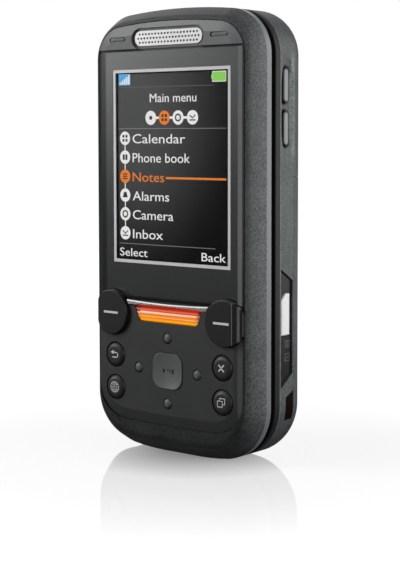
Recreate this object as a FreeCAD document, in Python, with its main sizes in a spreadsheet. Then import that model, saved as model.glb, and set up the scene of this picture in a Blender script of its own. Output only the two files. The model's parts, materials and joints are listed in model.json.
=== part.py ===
"""A slider phone: the front half, with the display, slides up over the rear half and bares the number keys.

The phone stands upright.  X runs to the right as the display is read, Y runs from front to back and Z runs
up.  The origin is the middle of the box's bottom.  All lengths are in millimetres.
"""
import FreeCAD, Part
import os
from math import asin, atan2, cos, degrees, hypot, radians, sin, sqrt
from types import SimpleNamespace

import Sketcher
from FreeCAD import Vector

# Every driving dimension: name, value, meaning.
SIZES = [
    # Whole phone
    ("width", 47.0, "overall width"),
    ("height", 98.0, "overall height, closed"),
    ("front_y", -10.5, "front of the soft keys"),
    ("back_y", 10.5, "back of the battery cover"),
    ("top_radius", 10.0, "top corners of both halves"),
    ("top_bow", 138.0, "slow curve of the top edge"),
    ("bottom_radius", 12.0, "bottom corners of both halves"),
    ("bottom_bow", 60.0, "slow curve of the bottom edge beside the foot"),
    ("foot_half", 5.0, "half the flat foot in the bottom edge"),
    ("travel", 38.0, "how far the front half slides up"),
    # Front half, front to back
    ("soft_proud", 1.0, "how far the soft keys stand proud of the panels"),
    ("panel_thickness", 1.0, "window, keypad panel and earpiece panel"),
    ("panel_gap", 0.2, "gap round the three panels"),
    ("panel_bevel_width", 2.3, "bevel round the three panels, across"),
    ("panel_bevel_depth", 0.55, "bevel round the three panels, deep"),
    ("panel_top_radius", 7.2, "top corners of the panel opening"),
    ("panel_bottom", 6.6, "bottom of the panel opening"),
    ("panel_bottom_radius", 8.0, "bottom corners of the panel opening"),
    ("panel_bottom_bow", 120.0, "slow curve of the panel opening's bottom"),
    ("rim_sunk", 0.15, "rim's front behind the panels' faces"),
    ("rim_width", 2.75, "housing's rim at the sides and the top"),
    ("rim_slope_width", 2.6, "sloping flank of the rim, across"),
    ("rim_land", 0.2, "straight side of the front cover behind the sloping flank"),
    ("rim_round", 3.0, "rounding of the rim's front"),
    ("split_gap", 0.55, "front board to the joint of the front and back covers"),
    ("back_cover_depth", 1.7, "side of the slider's back cover, front to back"),
    ("slider_edge_round", 0.3, "rear edge of the front half"),
    ("ledge_width", 1.1, "ledge that carries the panels"),
    ("ledge_thickness", 1.0, "thickness of the ledge"),
    ("front_wall", 2.4, "front half's side wall at the cavity"),
    ("rib_height", 1.6, "rib under the seam over the window"),
    ("lower_rib", 0.85, "rib under the window's lower edge, below that edge"),
    ("lower_rib_rise", 1.15, "the same rib above that edge"),
    ("seam", 0.5, "seam between the earpiece panel and the window"),
    ("seam_drop", 5.95, "middle of that seam, down from the panels' top"),
    ("window_bottom", 34.05, "lower edge of the window"),
    ("tongue_depth", 0.5, "tongue of the back cover inside the front cover"),
    ("tongue_gap", 0.1, "play of that tongue"),
    # Earpiece
    ("slot_drop", 3.5, "middle of the earpiece slot, down from the panels' top"),
    ("slot_half", 10.2, "half the slot's length"),
    ("slot_height", 4.5, "slot's height"),
    ("slot_depth", 0.7, "slot's depth down to the grille's seat"),
    ("grille_end_gap", 0.7, "grille's end to the slot's end"),
    ("grille_height", 3.25, "grille's height"),
    ("grille_thickness", 0.25, "grille's sheet"),
    ("grille_hole", 0.25, "radius of the grille's holes"),
    ("grille_pitch", 0.9, "distance between the grille's holes"),
    ("grille_columns", 20.0, "holes in the middle row"),
    ("sound_half", 5.6, "half the sound opening's length"),
    ("sound_height", 1.8, "sound opening's height"),
    ("mark_gap", 1.75, "sunk mark's end to the slot's end"),
    ("mark_half", 2.4, "half the sunk mark's length"),
    ("mark_height", 1.1, "sunk mark's height"),
    ("mark_depth", 0.3, "sunk mark's depth"),
    ("mark_bar", 0.4, "bar left standing in the sunk mark"),
    ("speaker_half", 6.2, "half the earpiece speaker's length"),
    ("speaker_height", 3.2, "earpiece speaker's height"),
    # Display
    ("module_side", 0.55, "display module past the silver frame, at the sides"),
    ("module_low", 3.55, "display module past the silver frame, below"),
    ("module_high", 2.55, "display module past the silver frame, above"),
    ("glass_stand", 0.3, "display glass in front of the module's frame part"),
    ("module_depth", 1.8, "depth of the module's frame part"),
    ("glass_gap", 0.3, "gap between the window and the display glass"),
    ("frame_inset", 3.9, "silver frame's side, in from the panels' edge"),
    ("frame_rise", 8.0, "silver frame's lower edge, up from the window's"),
    ("frame_drop", 4.15, "silver frame's upper edge, down from the seam"),
    ("frame_bar", 0.7, "width of the silver frame's bars"),
    ("frame_thickness", 0.2, "silver frame's sheet"),
    ("frame_gap", 0.05, "gap between the frame and the window"),
    # Front keys
    ("key_gap", 0.15, "gap round a key in its hole"),
    ("key_travel", 0.35, "travel of the front keys"),
    ("key_flange", 0.4, "how far a key's flange reaches under the panel"),
    ("flange_thickness", 0.4, "key's flange"),
    ("flange_gap", 0.05, "play between a flange and its panel"),
    ("stem_radius", 0.8, "key's stem"),
    ("dome_radius", 1.8, "switch dome on the board"),
    ("dome_height", 0.2, "switch dome on the board"),
    ("soft_inset", 4.35, "middle of a soft key's disc, in from the panels' edge"),
    ("soft_drop", 3.25, "middle of a soft key's disc, down from the window's lower edge"),
    ("soft_radius", 5.05, "soft key's disc"),
    ("soft_bevel", 2.05, "soft key's outer bevel, in from the panels' edge"),
    ("soft_edge_drop", 0.95, "drop of the soft key's outer bevel"),
    ("soft_seat", 0.6, "underside of the soft key's disc, behind the panels' faces"),
    ("soft_boss_radius", 2.3, "boss under the soft key"),
    ("soft_round", 0.25, "edge of the soft key"),
    ("round_inset", 5.25, "middle of the round keys, in from the panels' edge"),
    ("round_upper_z", 21.2, "upper round keys"),
    ("round_lower_z", 13.8, "lower round keys"),
    ("round_radius", 2.75, "round keys"),
    ("round_proud", 0.45, "how far the round keys stand proud"),
    ("round_dome", 1.1, "domed edge of the round keys"),
    ("nav_z", 18.95, "middle of the navigation keys"),
    ("nav_side", 8.35, "left and right navigation keys, from the middle"),
    ("nav_rise", 7.2, "up and down navigation keys, from the middle"),
    ("nav_radius", 1.1, "navigation keys"),
    ("nav_proud", 0.4, "how far the navigation keys stand proud"),
    ("nav_dome", 0.8, "domed edge of the navigation keys"),
    ("select_half", 4.2, "half the select key's width"),
    ("select_height", 7.9, "select key's height"),
    ("select_corner", 2.4, "select key's corners"),
    ("select_proud", 0.25, "how far the select key's edge stands proud"),
    ("select_dish", 0.45, "depth of the select key's dish"),
    ("dish_radius", 22.0, "ball that the dish is cut with"),
    ("select_round", 0.2, "edge of the select key"),
    # Chrome bar and light bar
    ("bar_inset", 4.6, "chrome bar's end, in from the middle of a soft key"),
    ("bar_dip", 0.33, "how far the chrome bar's upper edge sinks in the middle"),
    ("bar_height", 1.2, "chrome bar's height at its ends"),
    ("bar_waist", 0.65, "chrome bar's height in the middle"),
    ("bar_proud", 0.45, "how far the chrome bar stands proud"),
    ("bar_round", 0.25, "bevels along the chrome bar's front edges"),
    ("bar_gap", 0.1, "gap between the chrome bar and the panels"),
    ("light_inset", 6.8, "light bar's upper end, in from the middle of a soft key"),
    ("light_end_slant", 1.1, "how far the light bar's ends slant in"),
    ("light_height", 3.05, "light bar's height"),
    ("light_top_gap", 0.2, "light bar to the chrome bar"),
    ("light_corner", 0.6, "light bar's cut-off lower corners"),
    ("light_proud", 0.3, "how far the light bar stands proud"),
    ("light_round", 0.7, "front edges of the light bar"),
    ("light_sunk", 0.7, "back of the light bar behind the panels"),
    ("light_gap", 0.15, "gap round the light bar"),
    # Board and screws of the front half
    ("board_boss_gap", 0.3, "front board to the upper screw bosses"),
    ("front_board_bottom", 8.2, "front board's lower edge"),
    ("front_board_drop", 7.0, "front board's upper edge, down from the top"),
    ("board_gap", 0.1, "display module to the front board"),
    ("front_board_thickness", 0.65, "front board"),
    ("screw_radius", 0.7, "screw shank"),
    ("screw_bite", 0.02, "play of a shank in its boss"),
    ("screw_clear", 0.2, "play of a shank in a cover"),
    ("head_radius", 1.3, "screw head"),
    ("head_height", 0.6, "screw head"),
    ("head_gap", 0.15, "play round a screw head"),
    ("boss_radius", 1.6, "screw boss"),
    ("front_screw_low_inset", 12.0, "lower screws of the front half, in from the side"),
    ("front_screw_low_z", 4.7, "lower screws of the front half"),
    ("front_screw_high_inset", 4.3, "upper screws of the front half, in from the side"),
    ("front_screw_high_drop", 13.5, "upper screws of the front half, down from the top"),
    # Slide mechanism
    ("half_gap", 0.3, "gap between the two halves"),
    ("channel_gap", 0.1, "rail plate to the channel's sides"),
    ("channel_depth", 1.5, "depth of that channel"),
    ("channel_spare", 1.5, "channel past the carriage at each stop"),
    ("rail_inset", 6.3, "rail plate's edge, in from the side"),
    ("rail_sheet", 0.35, "rail plate's sheet"),
    ("rail_lip", 2.0, "rail's lip"),
    ("rail_sunk", 0.05, "rail's lip below the rear face"),
    ("rail_end_gap", 0.4, "rail plate to the channel's ends"),
    ("shoe_gap", 0.05, "play of the shoe in its rail"),
    ("carriage_rise", 12.0, "carriage's lower end above the travel"),
    ("carriage_drop", 6.0, "carriage's upper end, down from the top"),
    ("carriage_sheet", 0.4, "carriage's sheet"),
    ("carriage_sunk", 0.05, "carriage's web below the deck's face"),
    ("carriage_leg_gap", 0.2, "carriage's leg to the rail's lip"),
    ("flex_inset", 7.7, "middle of the flex cable, in from the rail's lip"),
    ("flex_half", 4.5, "half the flex cable's width"),
    ("flex_thickness", 0.15, "flex cable"),
    ("flex_slot_margin", 0.8, "slots round the flex cable"),
    ("flex_run", 31.0, "flex cable's slots, one above the other at rest"),
    ("flex_drop", 5.0, "flex cable's slot in the rear half, down from the carriage's end"),
    ("flex_loop", 3.6, "flex cable's fold at rest, below the front half's slot"),
    ("spring_wire", 0.3, "radius of the slide spring's wire"),
    ("spring_inset", 3.2, "slide spring's end on the rail plate, in from the rail's lip"),
    ("spring_fixed_x", -2.0, "slide spring's end on the carriage"),
    ("spring_eye", 1.2, "slide spring's eyes, to the middle of the wire"),
    ("spring_bend", 1.5, "slide spring's bends, to the middle of the wire"),
    ("pin_radius", 0.8, "pins that hold the slide spring"),
    ("pin_height", 0.7, "pins that hold the slide spring"),
    # Rear half, front to back
    ("deck_inset", 1.2, "how far the deck's raised face is set in"),
    ("strip_step", 1.0, "front of the deck's side strip behind the deck's face"),
    ("strip_depth", 1.65, "the deck's side strip, front to back"),
    ("deck_skin", 1.2, "deck's face"),
    ("deck_wall", 2.2, "deck's side wall"),
    ("edge_round", 0.25, "small outer edges of the rear half"),
    ("tray_inset", 3.9, "number keypad's side, in from the phone's side"),
    ("tray_bottom", 4.6, "number keypad's lower edge"),
    ("tray_gap", 0.6, "number keypad's upper edge below the open front half"),
    ("tray_depth", 0.5, "number keypad's floor below the deck's face"),
    ("tray_radius", 4.5, "number keypad's corners"),
    ("number_gap_x", 0.8, "between number keys, side to side"),
    ("number_gap_z", 1.1, "between number keys, up and down"),
    ("number_low_gap", 1.15, "lowest number keys to the keypad's lower edge"),
    ("number_side_gap", 1.1, "outer number keys to the keypad's side"),
    ("number_high_gap", 0.75, "highest number keys to the keypad's upper edge"),
    ("number_corner", 1.6, "number key's corners"),
    ("number_flange", 0.3, "how far a number key's flange reaches under the deck"),
    ("number_sunk", 0.1, "number keys below the deck's face"),
    ("number_travel", 0.3, "travel of the number keys"),
    ("number_round", 0.15, "edge of a number key"),
    ("back_round", 6.0, "rounding of the back edge"),
    ("rear_wall", 1.8, "rear housing's side wall"),
    ("can_room", 2.2, "main board to the battery bay's floor plate"),
    ("bay_floor", 0.7, "battery bay's floor plate"),
    ("bay_depth", 0.7, "battery bay's floor to the joint with the battery cover"),
    ("cover_drop", 36.4, "upper edge of the battery cover, down from the top"),
    ("cover_gap", 0.12, "gap round the battery cover"),
    ("cover_wall", 1.1, "battery cover's wall"),
    ("back_skin", 1.2, "rear housing's back skin at the camera"),
    ("head_wall", 1.6, "wall between the battery bay and the camera bay"),
    ("camera_bay_inset", 4.6, "camera bay inside the outline"),
    # Board and screws of the rear half
    ("main_board_step", 0.75, "front face of the main board behind the deck"),
    ("main_board_thickness", 0.7, "main board"),
    ("main_board_gap", 1.5, "main board to the rear housing's wall"),
    ("main_board_bottom", 5.4, "main board's lower edge"),
    ("main_board_drop", 1.2, "main board's upper edge below the power key's flange"),
    ("main_board_corner", 6.0, "main board's corners"),
    ("rear_screw_low_inset", 14.5, "lower screws of the rear half, in from the side"),
    ("rear_screw_low_z", 3.6, "lower screws of the rear half"),
    ("rear_screw_high_inset", 5.1, "upper screws of the rear half, in from the side"),
    ("rear_screw_high_drop", 4.1, "upper screws of the rear half, below the cover's edge"),
    ("stack_gap", 0.05, "gap between stacked pieces"),
    ("can_half", 13.0, "half the shield can's width"),
    ("can_bottom", 14.0, "shield can's lower edge"),
    ("can_top", 50.0, "shield can's upper edge"),
    ("can_sheet", 0.25, "shield can's sheet"),
    # Battery bay
    ("battery_inset", 6.5, "battery's side, in from the phone's side"),
    ("battery_bottom", 7.5, "battery's lower edge"),
    ("battery_drop", 2.8, "battery's upper edge, down from the bay's"),
    ("battery_seat", 0.2, "battery's front face behind the cover's joint"),
    ("battery_gap", 0.4, "battery's back face to the cover"),
    ("battery_round", 1.5, "battery's corners"),
    ("bay_ledge", 0.4, "ledge at the bay's side that carries the battery"),
    ("bay_bottom", 5.6, "battery bay's lower edge"),
    ("bay_drop", 1.6, "battery bay's upper edge, down from the cover's"),
    ("card_x", -5.0, "middle of the card holder"),
    ("card_z", 30.0, "middle of the card holder"),
    ("card_half", 8.0, "half the card holder's width"),
    ("card_height", 26.0, "card holder's height"),
    ("card_cover", 0.25, "card holder's sheet over the cards"),
    ("card_rim", 1.0, "rim of that sheet"),
    # Camera side
    ("camera_x", -9.0, "middle of the camera"),
    ("camera_drop", 13.5, "middle of the camera, down from the top"),
    ("camera_half", 4.4, "half the camera module's width"),
    ("camera_barrel", 3.1, "camera's barrel"),
    ("lens_window", 4.2, "camera's window"),
    ("lens_window_thickness", 0.7, "camera's window"),
    ("lens_sunk", 0.15, "camera's window below the back"),
    ("lens_seat", 0.6, "seat of the camera's window"),
    ("lens_gap", 0.05, "gap round the camera's window"),
    ("flash_x", 0.0, "middle of the flash"),
    ("flash_half", 2.1, "half the flash's width"),
    ("flash_height", 2.8, "flash's height"),
    ("flash_depth", 2.2, "flash's depth"),
    ("loud_gap", 2.1, "loudspeaker to the flash"),
    ("loud_inset", 6.1, "loudspeaker's outer edge, in from the phone's side"),
    ("loud_height", 10.0, "loudspeaker's height"),
    ("loud_depth", 3.65, "depth of the loudspeaker"),
    ("loud_slot_half", 0.4, "half the height of a sound slot"),
    ("loud_slot_length", 8.0, "length of the sound slots"),
    ("loud_slot_pitch", 1.7, "distance between the sound slots"),
    ("motor_x", -8.0, "middle of the vibration motor"),
    ("motor_drop", 13.5, "middle of the vibration motor, below the camera's"),
    ("motor_radius", 2.0, "vibration motor"),
    ("motor_length", 9.0, "vibration motor"),
    ("motor_shaft", 0.5, "vibration motor's shaft"),
    ("weight_length", 3.2, "weight on the vibration motor"),
    ("weight_radius", 1.8, "weight on the vibration motor"),
    ("weight_gap", 0.4, "vibration motor to its weight"),
    # Right side
    ("volume_step", 2.25, "middle of the volume keys behind the deck"),
    ("volume_drop", 21.6, "middle of the volume keys, down from the top"),
    ("scoop_step", 0.3, "middle of the scoop behind the volume keys'"),
    ("scoop_radius", 3.4, "scoop's round section"),
    ("scoop_depth", 0.8, "depth of the scoop"),
    ("scoop_straight", 5.0, "half the scoop's straight middle"),
    ("scoop_reach", 11.5, "half the length of the cut that makes the scoop"),
    ("scoop_end_radius", 17.3, "scoop's run-out at its ends"),
    ("volume_pad_half", 1.1, "half a volume pad's width"),
    ("volume_pad_near", 0.75, "pad's inner end, from the middle"),
    ("volume_pad_far", 8.4, "pad's outer end, from the middle"),
    ("volume_sunk", 0.1, "volume pads below the side"),
    ("volume_pad_round", 0.5, "edges of the volume pads"),
    ("volume_pin_half", 0.3, "half the pin that the volume keys rock on"),
    ("volume_bar", 0.6, "bar that joins the volume pads, and side keys' flanges"),
    ("volume_bar_half", 1.0, "half the width of that bar"),
    ("volume_bar_reach", 7.9, "half the length of that bar"),
    ("volume_swing_gap", 0.35, "room between that bar and the wall"),
    ("recess_step", 0.35, "front edge of the side recess behind the deck"),
    ("recess_depth_y", 4.3, "side recess, front to back"),
    ("recess_top_front", 42.0, "recess's upper edge at the front"),
    ("recess_top_back", 39.3, "recess's upper edge at the back"),
    ("recess_low_back", 19.2, "recess's lower edge at the back"),
    ("recess_low_front", 16.2, "recess's lower edge at the front"),
    ("recess_depth", 0.9, "depth of the side recess"),
    ("side_panel_thickness", 0.45, "panel in the side recess"),
    ("side_panel_gap", 0.06, "gap round the side panel"),
    ("camera_key_step", 0.4, "front edge of the camera key behind the recess's"),
    ("camera_key_width", 3.1, "camera key, front to back"),
    ("camera_key_low", 27.5, "lower edge of the camera key"),
    ("camera_key_high", 36.6, "upper edge of the camera key"),
    ("camera_key_slant", 1.6, "slanting corner of the camera key"),
    ("camera_key_sunk", 0.1, "camera key below the side"),
    ("camera_key_round", 0.45, "edges of the camera key"),
    ("infrared_step", 2.25, "front edge of the infrared window behind the deck"),
    ("infrared_edge", 0.15, "rear edge of the infrared window to the cover's joint"),
    ("infrared_low", 9.2, "lower edge of the infrared window"),
    ("infrared_high", 15.4, "upper edge of the infrared window"),
    ("infrared_slant", 1.3, "slanting corner of the infrared window"),
    ("infrared_thickness", 1.2, "infrared window"),
    ("infrared_gap", 0.05, "gap round the infrared window"),
    # Left side and top
    ("music_step", 2.55, "middle of the music key behind the deck"),
    ("music_drop", 24.0, "middle of the music key, down from the top"),
    ("music_reach", 4.2, "half the length of the music key"),
    ("music_half", 1.2, "half the width of the music key"),
    ("music_sunk", 0.1, "music key below the side"),
    ("music_dent", 0.4, "dent round the music key"),
    ("connector_low", 14.0, "lower edge of the system connector"),
    ("connector_high", 27.0, "upper edge of the system connector"),
    ("connector_height", 2.0, "system connector, front to back"),
    ("connector_depth", 3.6, "system connector, from the side inwards"),
    ("connector_sunk", 0.3, "system connector's face below the side"),
    ("connector_slot", 0.7, "slot in the system connector"),
    ("power_inset", 12.5, "middle of the power key, in from the phone's side"),
    ("power_step", 2.45, "middle of the power key behind the deck"),
    ("power_reach", 3.4, "half the length of the power key"),
    ("power_half", 1.2, "half the width of the power key"),
    ("power_round", 0.5, "edges of the power key"),
    ("power_sunk", 0.25, "face of the power key below the top"),
    ("power_flange_drop", 2.8, "underside of the housing over the power key's flange, below the top"),
]

doc = FreeCAD.newDocument("slider_phone")
sheet = doc.addObject("Spreadsheet::Sheet", "sizes")


class Size:
    """A length with both its value and the expression that works it out from the sheet."""

    def __init__(self, value, text):
        self.value = value
        self.text = text

    def __add__(self, other):
        return Size(self.value + value(other), f"({self.text} + {text(other)})")

    def __radd__(self, other):
        return Size(value(other) + self.value, f"({text(other)} + {self.text})")

    def __sub__(self, other):
        return Size(self.value - value(other), f"({self.text} - {text(other)})")

    def __rsub__(self, other):
        return Size(value(other) - self.value, f"({text(other)} - {self.text})")

    def __mul__(self, other):
        return Size(self.value * value(other), f"({self.text} * {text(other)})")

    def __rmul__(self, other):
        return Size(value(other) * self.value, f"({text(other)} * {self.text})")

    def __truediv__(self, other):
        return Size(self.value / value(other), f"({self.text} / {text(other)})")

    def __neg__(self):
        return Size(-self.value, f"(0 - {self.text})")


def value(size):
    """The number that a Size or a plain number stands for."""
    return size.value if isinstance(size, Size) else float(size)


def text(size):
    """The expression that a Size or a plain number stands for."""
    return size.text if isinstance(size, Size) else f"({float(size)!r})"


def fill_sheet():
    """Write SIZES into the sheet and return them as named Size values."""
    named = {}
    for row, (name, number, meaning) in enumerate(SIZES, start=1):
        sheet.set(f"A{row}", meaning)
        sheet.set(f"B{row}", repr(number))
        sheet.setAlias(f"B{row}", name)
        named[name] = Size(number, f"sizes.{name}")
    doc.recompute()
    return SimpleNamespace(**named)


S = fill_sheet()

# Places and lengths that follow from those sizes.  First the whole phone, from front to back.
HALF = S.width / 2
BIG = 2 * S.height
AHEAD = -BIG
BEHIND = BIG
S.panel_y = S.front_y + S.soft_proud
S.rim_y = S.panel_y + S.rim_sunk
PANEL_BACK_Y = S.panel_y + S.panel_thickness
LEDGE_BACK_Y = PANEL_BACK_Y + S.ledge_thickness
S.glass_y = PANEL_BACK_Y + S.glass_gap
S.module_y = S.glass_y + S.glass_stand
S.module_back_y = S.module_y + S.module_depth
S.front_board_y = S.module_back_y + S.board_gap
FRONT_BOARD_BACK_Y = S.front_board_y + S.front_board_thickness
S.dome_gap = S.key_travel + S.flange_gap
S.front_split_y = FRONT_BOARD_BACK_Y + S.split_gap
S.rim_slope_end_y = S.front_split_y - S.rim_land
S.slider_back_y = S.front_split_y + S.back_cover_depth
S.channel_floor_y = S.slider_back_y - S.channel_depth
DECK_Y = S.slider_back_y + S.half_gap
DECK_SKIN_BACK_Y = DECK_Y + S.deck_skin
S.strip_y = DECK_Y + S.strip_step
S.deck_back_y = S.strip_y + S.strip_depth
S.main_board_y = S.deck_back_y + S.main_board_step
MAIN_BOARD_BACK_Y = S.main_board_y + S.main_board_thickness
S.floor_y = MAIN_BOARD_BACK_Y + S.can_room
S.bay_y = S.floor_y + S.bay_floor
S.cover_y = S.bay_y + S.bay_depth
S.battery_y = S.cover_y + S.battery_seat
S.battery_back_y = S.back_y - S.cover_wall - S.battery_gap

# The panels, the display and the front keys.
PANEL_HALF = HALF - S.rim_width - S.panel_gap
PANEL_TOP = S.height - S.rim_width - S.panel_gap
S.seam_z = PANEL_TOP - S.seam_drop
S.slot_z = PANEL_TOP - S.slot_drop
S.grille_half = S.slot_half - S.grille_end_gap
S.mark_x = S.slot_half + S.mark_gap + S.mark_half
S.frame_half = PANEL_HALF - S.frame_inset
S.frame_bottom = S.window_bottom + S.frame_rise
S.frame_top = S.seam_z - S.frame_drop
S.module_half = S.frame_half + S.module_side
S.module_bottom = S.frame_bottom - S.module_low
S.module_top = S.frame_top + S.module_high
S.soft_x = PANEL_HALF - S.soft_inset
S.soft_z = S.window_bottom - S.soft_drop
S.soft_flat_x = PANEL_HALF - S.soft_bevel
S.soft_underside_y = S.panel_y + S.soft_seat
S.round_x = PANEL_HALF - S.round_inset
S.bar_half = S.soft_x - S.bar_inset
CHROME_TOP = S.window_bottom - S.bar_gap
CHROME_BOTTOM = CHROME_TOP - S.bar_height
S.light_half = S.soft_x - S.light_inset
S.light_top = CHROME_BOTTOM - S.light_top_gap
S.light_bottom = S.light_top - S.light_height
S.light_back_y = PANEL_BACK_Y + S.light_sunk
S.front_screw_low_x = HALF - S.front_screw_low_inset
S.front_screw_high_x = HALF - S.front_screw_high_inset
S.front_screw_high_z = S.height - S.front_screw_high_drop
S.front_board_half = S.front_screw_high_x - S.boss_radius - S.board_boss_gap
S.front_board_top = S.height - S.front_board_drop

# The slide, with the carriage at its place on the rear half.
S.rail_half = HALF - S.rail_inset
S.channel_half = S.rail_half + S.channel_gap
LIP_INNER = S.rail_half - S.rail_lip
S.carriage_bottom = S.travel + S.carriage_rise
S.carriage_top = S.height - S.carriage_drop
S.flex_x = LIP_INNER - S.flex_inset
S.flex_rear_z = S.carriage_top - S.flex_drop
S.flex_front_z = S.flex_rear_z - S.flex_run
S.flex_fold_z = S.flex_front_z - S.flex_loop
S.spring_moving_x = S.spring_inset - LIP_INNER
S.spring_fixed_z = (S.carriage_bottom + S.carriage_top) / 2

# The number keypad.
S.tray_half = HALF - S.tray_inset
S.tray_top = S.travel - S.tray_gap
S.number_half = (S.tray_half - S.number_side_gap - S.number_gap_x) / 3
S.number_pitch_x = S.number_half * 2 + S.number_gap_x
NUMBER_ROOM = S.tray_top - S.tray_bottom - S.number_low_gap - S.number_high_gap
S.number_height = (NUMBER_ROOM - S.number_gap_z * 3) / 4
S.number_pitch_z = S.number_height + S.number_gap_z
S.number_middle_z = S.tray_bottom + S.number_low_gap + S.number_height / 2 + S.number_pitch_z * 1.5

# The rear half's board, battery, back and sides.
S.cover_top = S.height - S.cover_drop
HEAD_BAY_LOW = S.cover_top + S.head_wall
S.power_x = S.power_inset - HALF
S.power_z = S.height - S.power_sunk
S.power_flange_z = S.height - S.power_flange_drop
S.main_board_half = HALF - S.rear_wall - S.main_board_gap
S.main_board_top = S.power_flange_z - S.main_board_drop
S.rear_screw_low_x = HALF - S.rear_screw_low_inset
S.rear_screw_high_x = HALF - S.rear_screw_high_inset
S.rear_screw_high_z = S.cover_top - S.rear_screw_high_drop
S.bay_top = S.cover_top - S.bay_drop
S.battery_half = HALF - S.battery_inset
S.battery_top = S.bay_top - S.battery_drop
S.bay_half = S.battery_half - S.bay_ledge
S.camera_z = S.height - S.camera_drop
S.camera_front_y = MAIN_BOARD_BACK_Y + S.stack_gap
S.loud_half = (HALF - S.loud_inset - S.flash_x - S.flash_half - S.loud_gap) / 2
S.loud_x = S.flash_x + S.flash_half + S.loud_gap + S.loud_half
S.loud_front_y = S.back_y - S.back_skin - S.stack_gap - S.loud_depth
S.motor_z = S.camera_z - S.motor_drop
S.volume_y = S.deck_back_y + S.volume_step
S.volume_z = S.height - S.volume_drop
S.scoop_y = S.volume_y + S.scoop_step
S.recess_y = S.deck_back_y + S.recess_step
S.recess_back_y = S.recess_y + S.recess_depth_y
S.camera_key_y = S.recess_y + S.camera_key_step
S.camera_key_back_y = S.camera_key_y + S.camera_key_width
S.infrared_y = S.deck_back_y + S.infrared_step
S.infrared_back_y = S.cover_y - S.infrared_edge
S.music_y = S.deck_back_y + S.music_step
S.music_z = S.height - S.music_drop
S.connector_y = MAIN_BOARD_BACK_Y + S.stack_gap
S.connector_back_y = S.connector_y + S.connector_height
S.power_y = S.deck_back_y + S.power_step


# ---------------------------------------------------------------------------------------------- sketches

def bind(sketch, constraint, size):
    """Add a constraint with a value and tie it to the sheet."""
    index = sketch.addConstraint(constraint)
    sketch.setExpression(f"Constraints[{index}]", text(size))


def place(sketch, geometry, point, across, up):
    """Hold one point of a sketch at its place."""
    for kind, size in (("DistanceX", across), ("DistanceY", up)):
        bind(sketch, Sketcher.Constraint(kind, -1, 1, geometry, point, value(size)), size)


def line(start, end):
    return Part.LineSegment(Vector(start[0], start[1], 0), Vector(end[0], end[1], 0))


def arc(middle, radius, start, end):
    """An arc about middle, anticlockwise between two angles in degrees."""
    circle_ = Part.Circle(Vector(middle[0], middle[1], 0), Vector(0, 0, 1), radius)
    return Part.ArcOfCircle(circle_, radians(start), radians(end))


def tangent_loop(sketch, pieces):
    """Add pieces end to end, each running smoothly into the next, and return their numbers."""
    numbers = [sketch.addGeometry(piece, False) for piece in pieces]
    for this, following in zip(numbers, numbers[1:] + numbers[:1]):
        sketch.addConstraint(Sketcher.Constraint("Tangent", this, 2, following, 1))
    return numbers


def circle(across, up, radius):
    def draw(sketch):
        middle = Vector(value(across), value(up), 0)
        number = sketch.addGeometry(Part.Circle(middle, Vector(0, 0, 1), value(radius)), False)
        place(sketch, number, 3, across, up)
        bind(sketch, Sketcher.Constraint("Radius", number, value(radius)), radius)
    return draw


def polygon(*corners):
    """A closed outline of straight lines."""
    def draw(sketch):
        points = [(value(across), value(up)) for across, up in corners]
        numbers = []
        for start, end in zip(points, points[1:] + points[:1]):
            numbers.append(sketch.addGeometry(line(start, end), False))
        for this, following in zip(numbers, numbers[1:] + numbers[:1]):
            sketch.addConstraint(Sketcher.Constraint("Coincident", this, 2, following, 1))
        for number, (across, up) in zip(numbers, corners):
            place(sketch, number, 1, across, up)
    return draw


def rectangle(left, right, low, high):
    return polygon((left, low), (right, low), (right, high), (left, high))


def rounded(left, right, low, high, radius):
    """A rectangle with four round corners."""
    def draw(sketch):
        x0, x1, z0, z1, r = (value(size) for size in (left, right, low, high, radius))
        numbers = tangent_loop(sketch, [
            line((x0 + r, z0), (x1 - r, z0)), arc((x1 - r, z0 + r), r, -90, 0),
            line((x1, z0 + r), (x1, z1 - r)), arc((x1 - r, z1 - r), r, 0, 90),
            line((x1 - r, z1), (x0 + r, z1)), arc((x0 + r, z1 - r), r, 90, 180),
            line((x0, z1 - r), (x0, z0 + r)), arc((x0 + r, z0 + r), r, 180, 270)])
        bottom, side, top, other = numbers[0], numbers[2], numbers[4], numbers[6]
        for corner in numbers[1::2]:
            bind(sketch, Sketcher.Constraint("Radius", corner, r), radius)
        for level in (bottom, top):
            sketch.addConstraint(Sketcher.Constraint("Horizontal", level))
        for upright in (side, other):
            sketch.addConstraint(Sketcher.Constraint("Vertical", upright))
        bind(sketch, Sketcher.Constraint("DistanceY", -1, 1, bottom, 1, z0), low)
        bind(sketch, Sketcher.Constraint("DistanceY", -1, 1, top, 1, z1), high)
        bind(sketch, Sketcher.Constraint("DistanceX", -1, 1, side, 1, x1), right)
        bind(sketch, Sketcher.Constraint("DistanceX", -1, 1, other, 1, x0), left)
    return draw


def stadium(across, up, reach, radius, upright=False):
    """A slot with round ends: reach is half its whole length, radius is half its width."""
    def draw(sketch):
        x, z, r = value(across), value(up), value(radius)
        run = value(reach) - r
        low, high = (across, up - reach + radius), (across, up + reach - radius)
        first, second = (across - reach + radius, up), (across + reach - radius, up)
        if upright:
            numbers = tangent_loop(sketch, [
                arc((x, z - run), r, 180, 360), line((x + r, z - run), (x + r, z + run)),
                arc((x, z + run), r, 0, 180), line((x - r, z + run), (x - r, z - run))])
            middles = {numbers[0]: low, numbers[2]: high}
        else:
            numbers = tangent_loop(sketch, [
                arc((x + run, z), r, -90, 90), line((x + run, z + r), (x - run, z + r)),
                arc((x - run, z), r, 90, 270), line((x - run, z - r), (x + run, z - r))])
            middles = {numbers[0]: second, numbers[2]: first}
        for number, middle in middles.items():
            place(sketch, number, 3, *middle)
            bind(sketch, Sketcher.Constraint("Radius", number, r), radius)
    return draw


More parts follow.
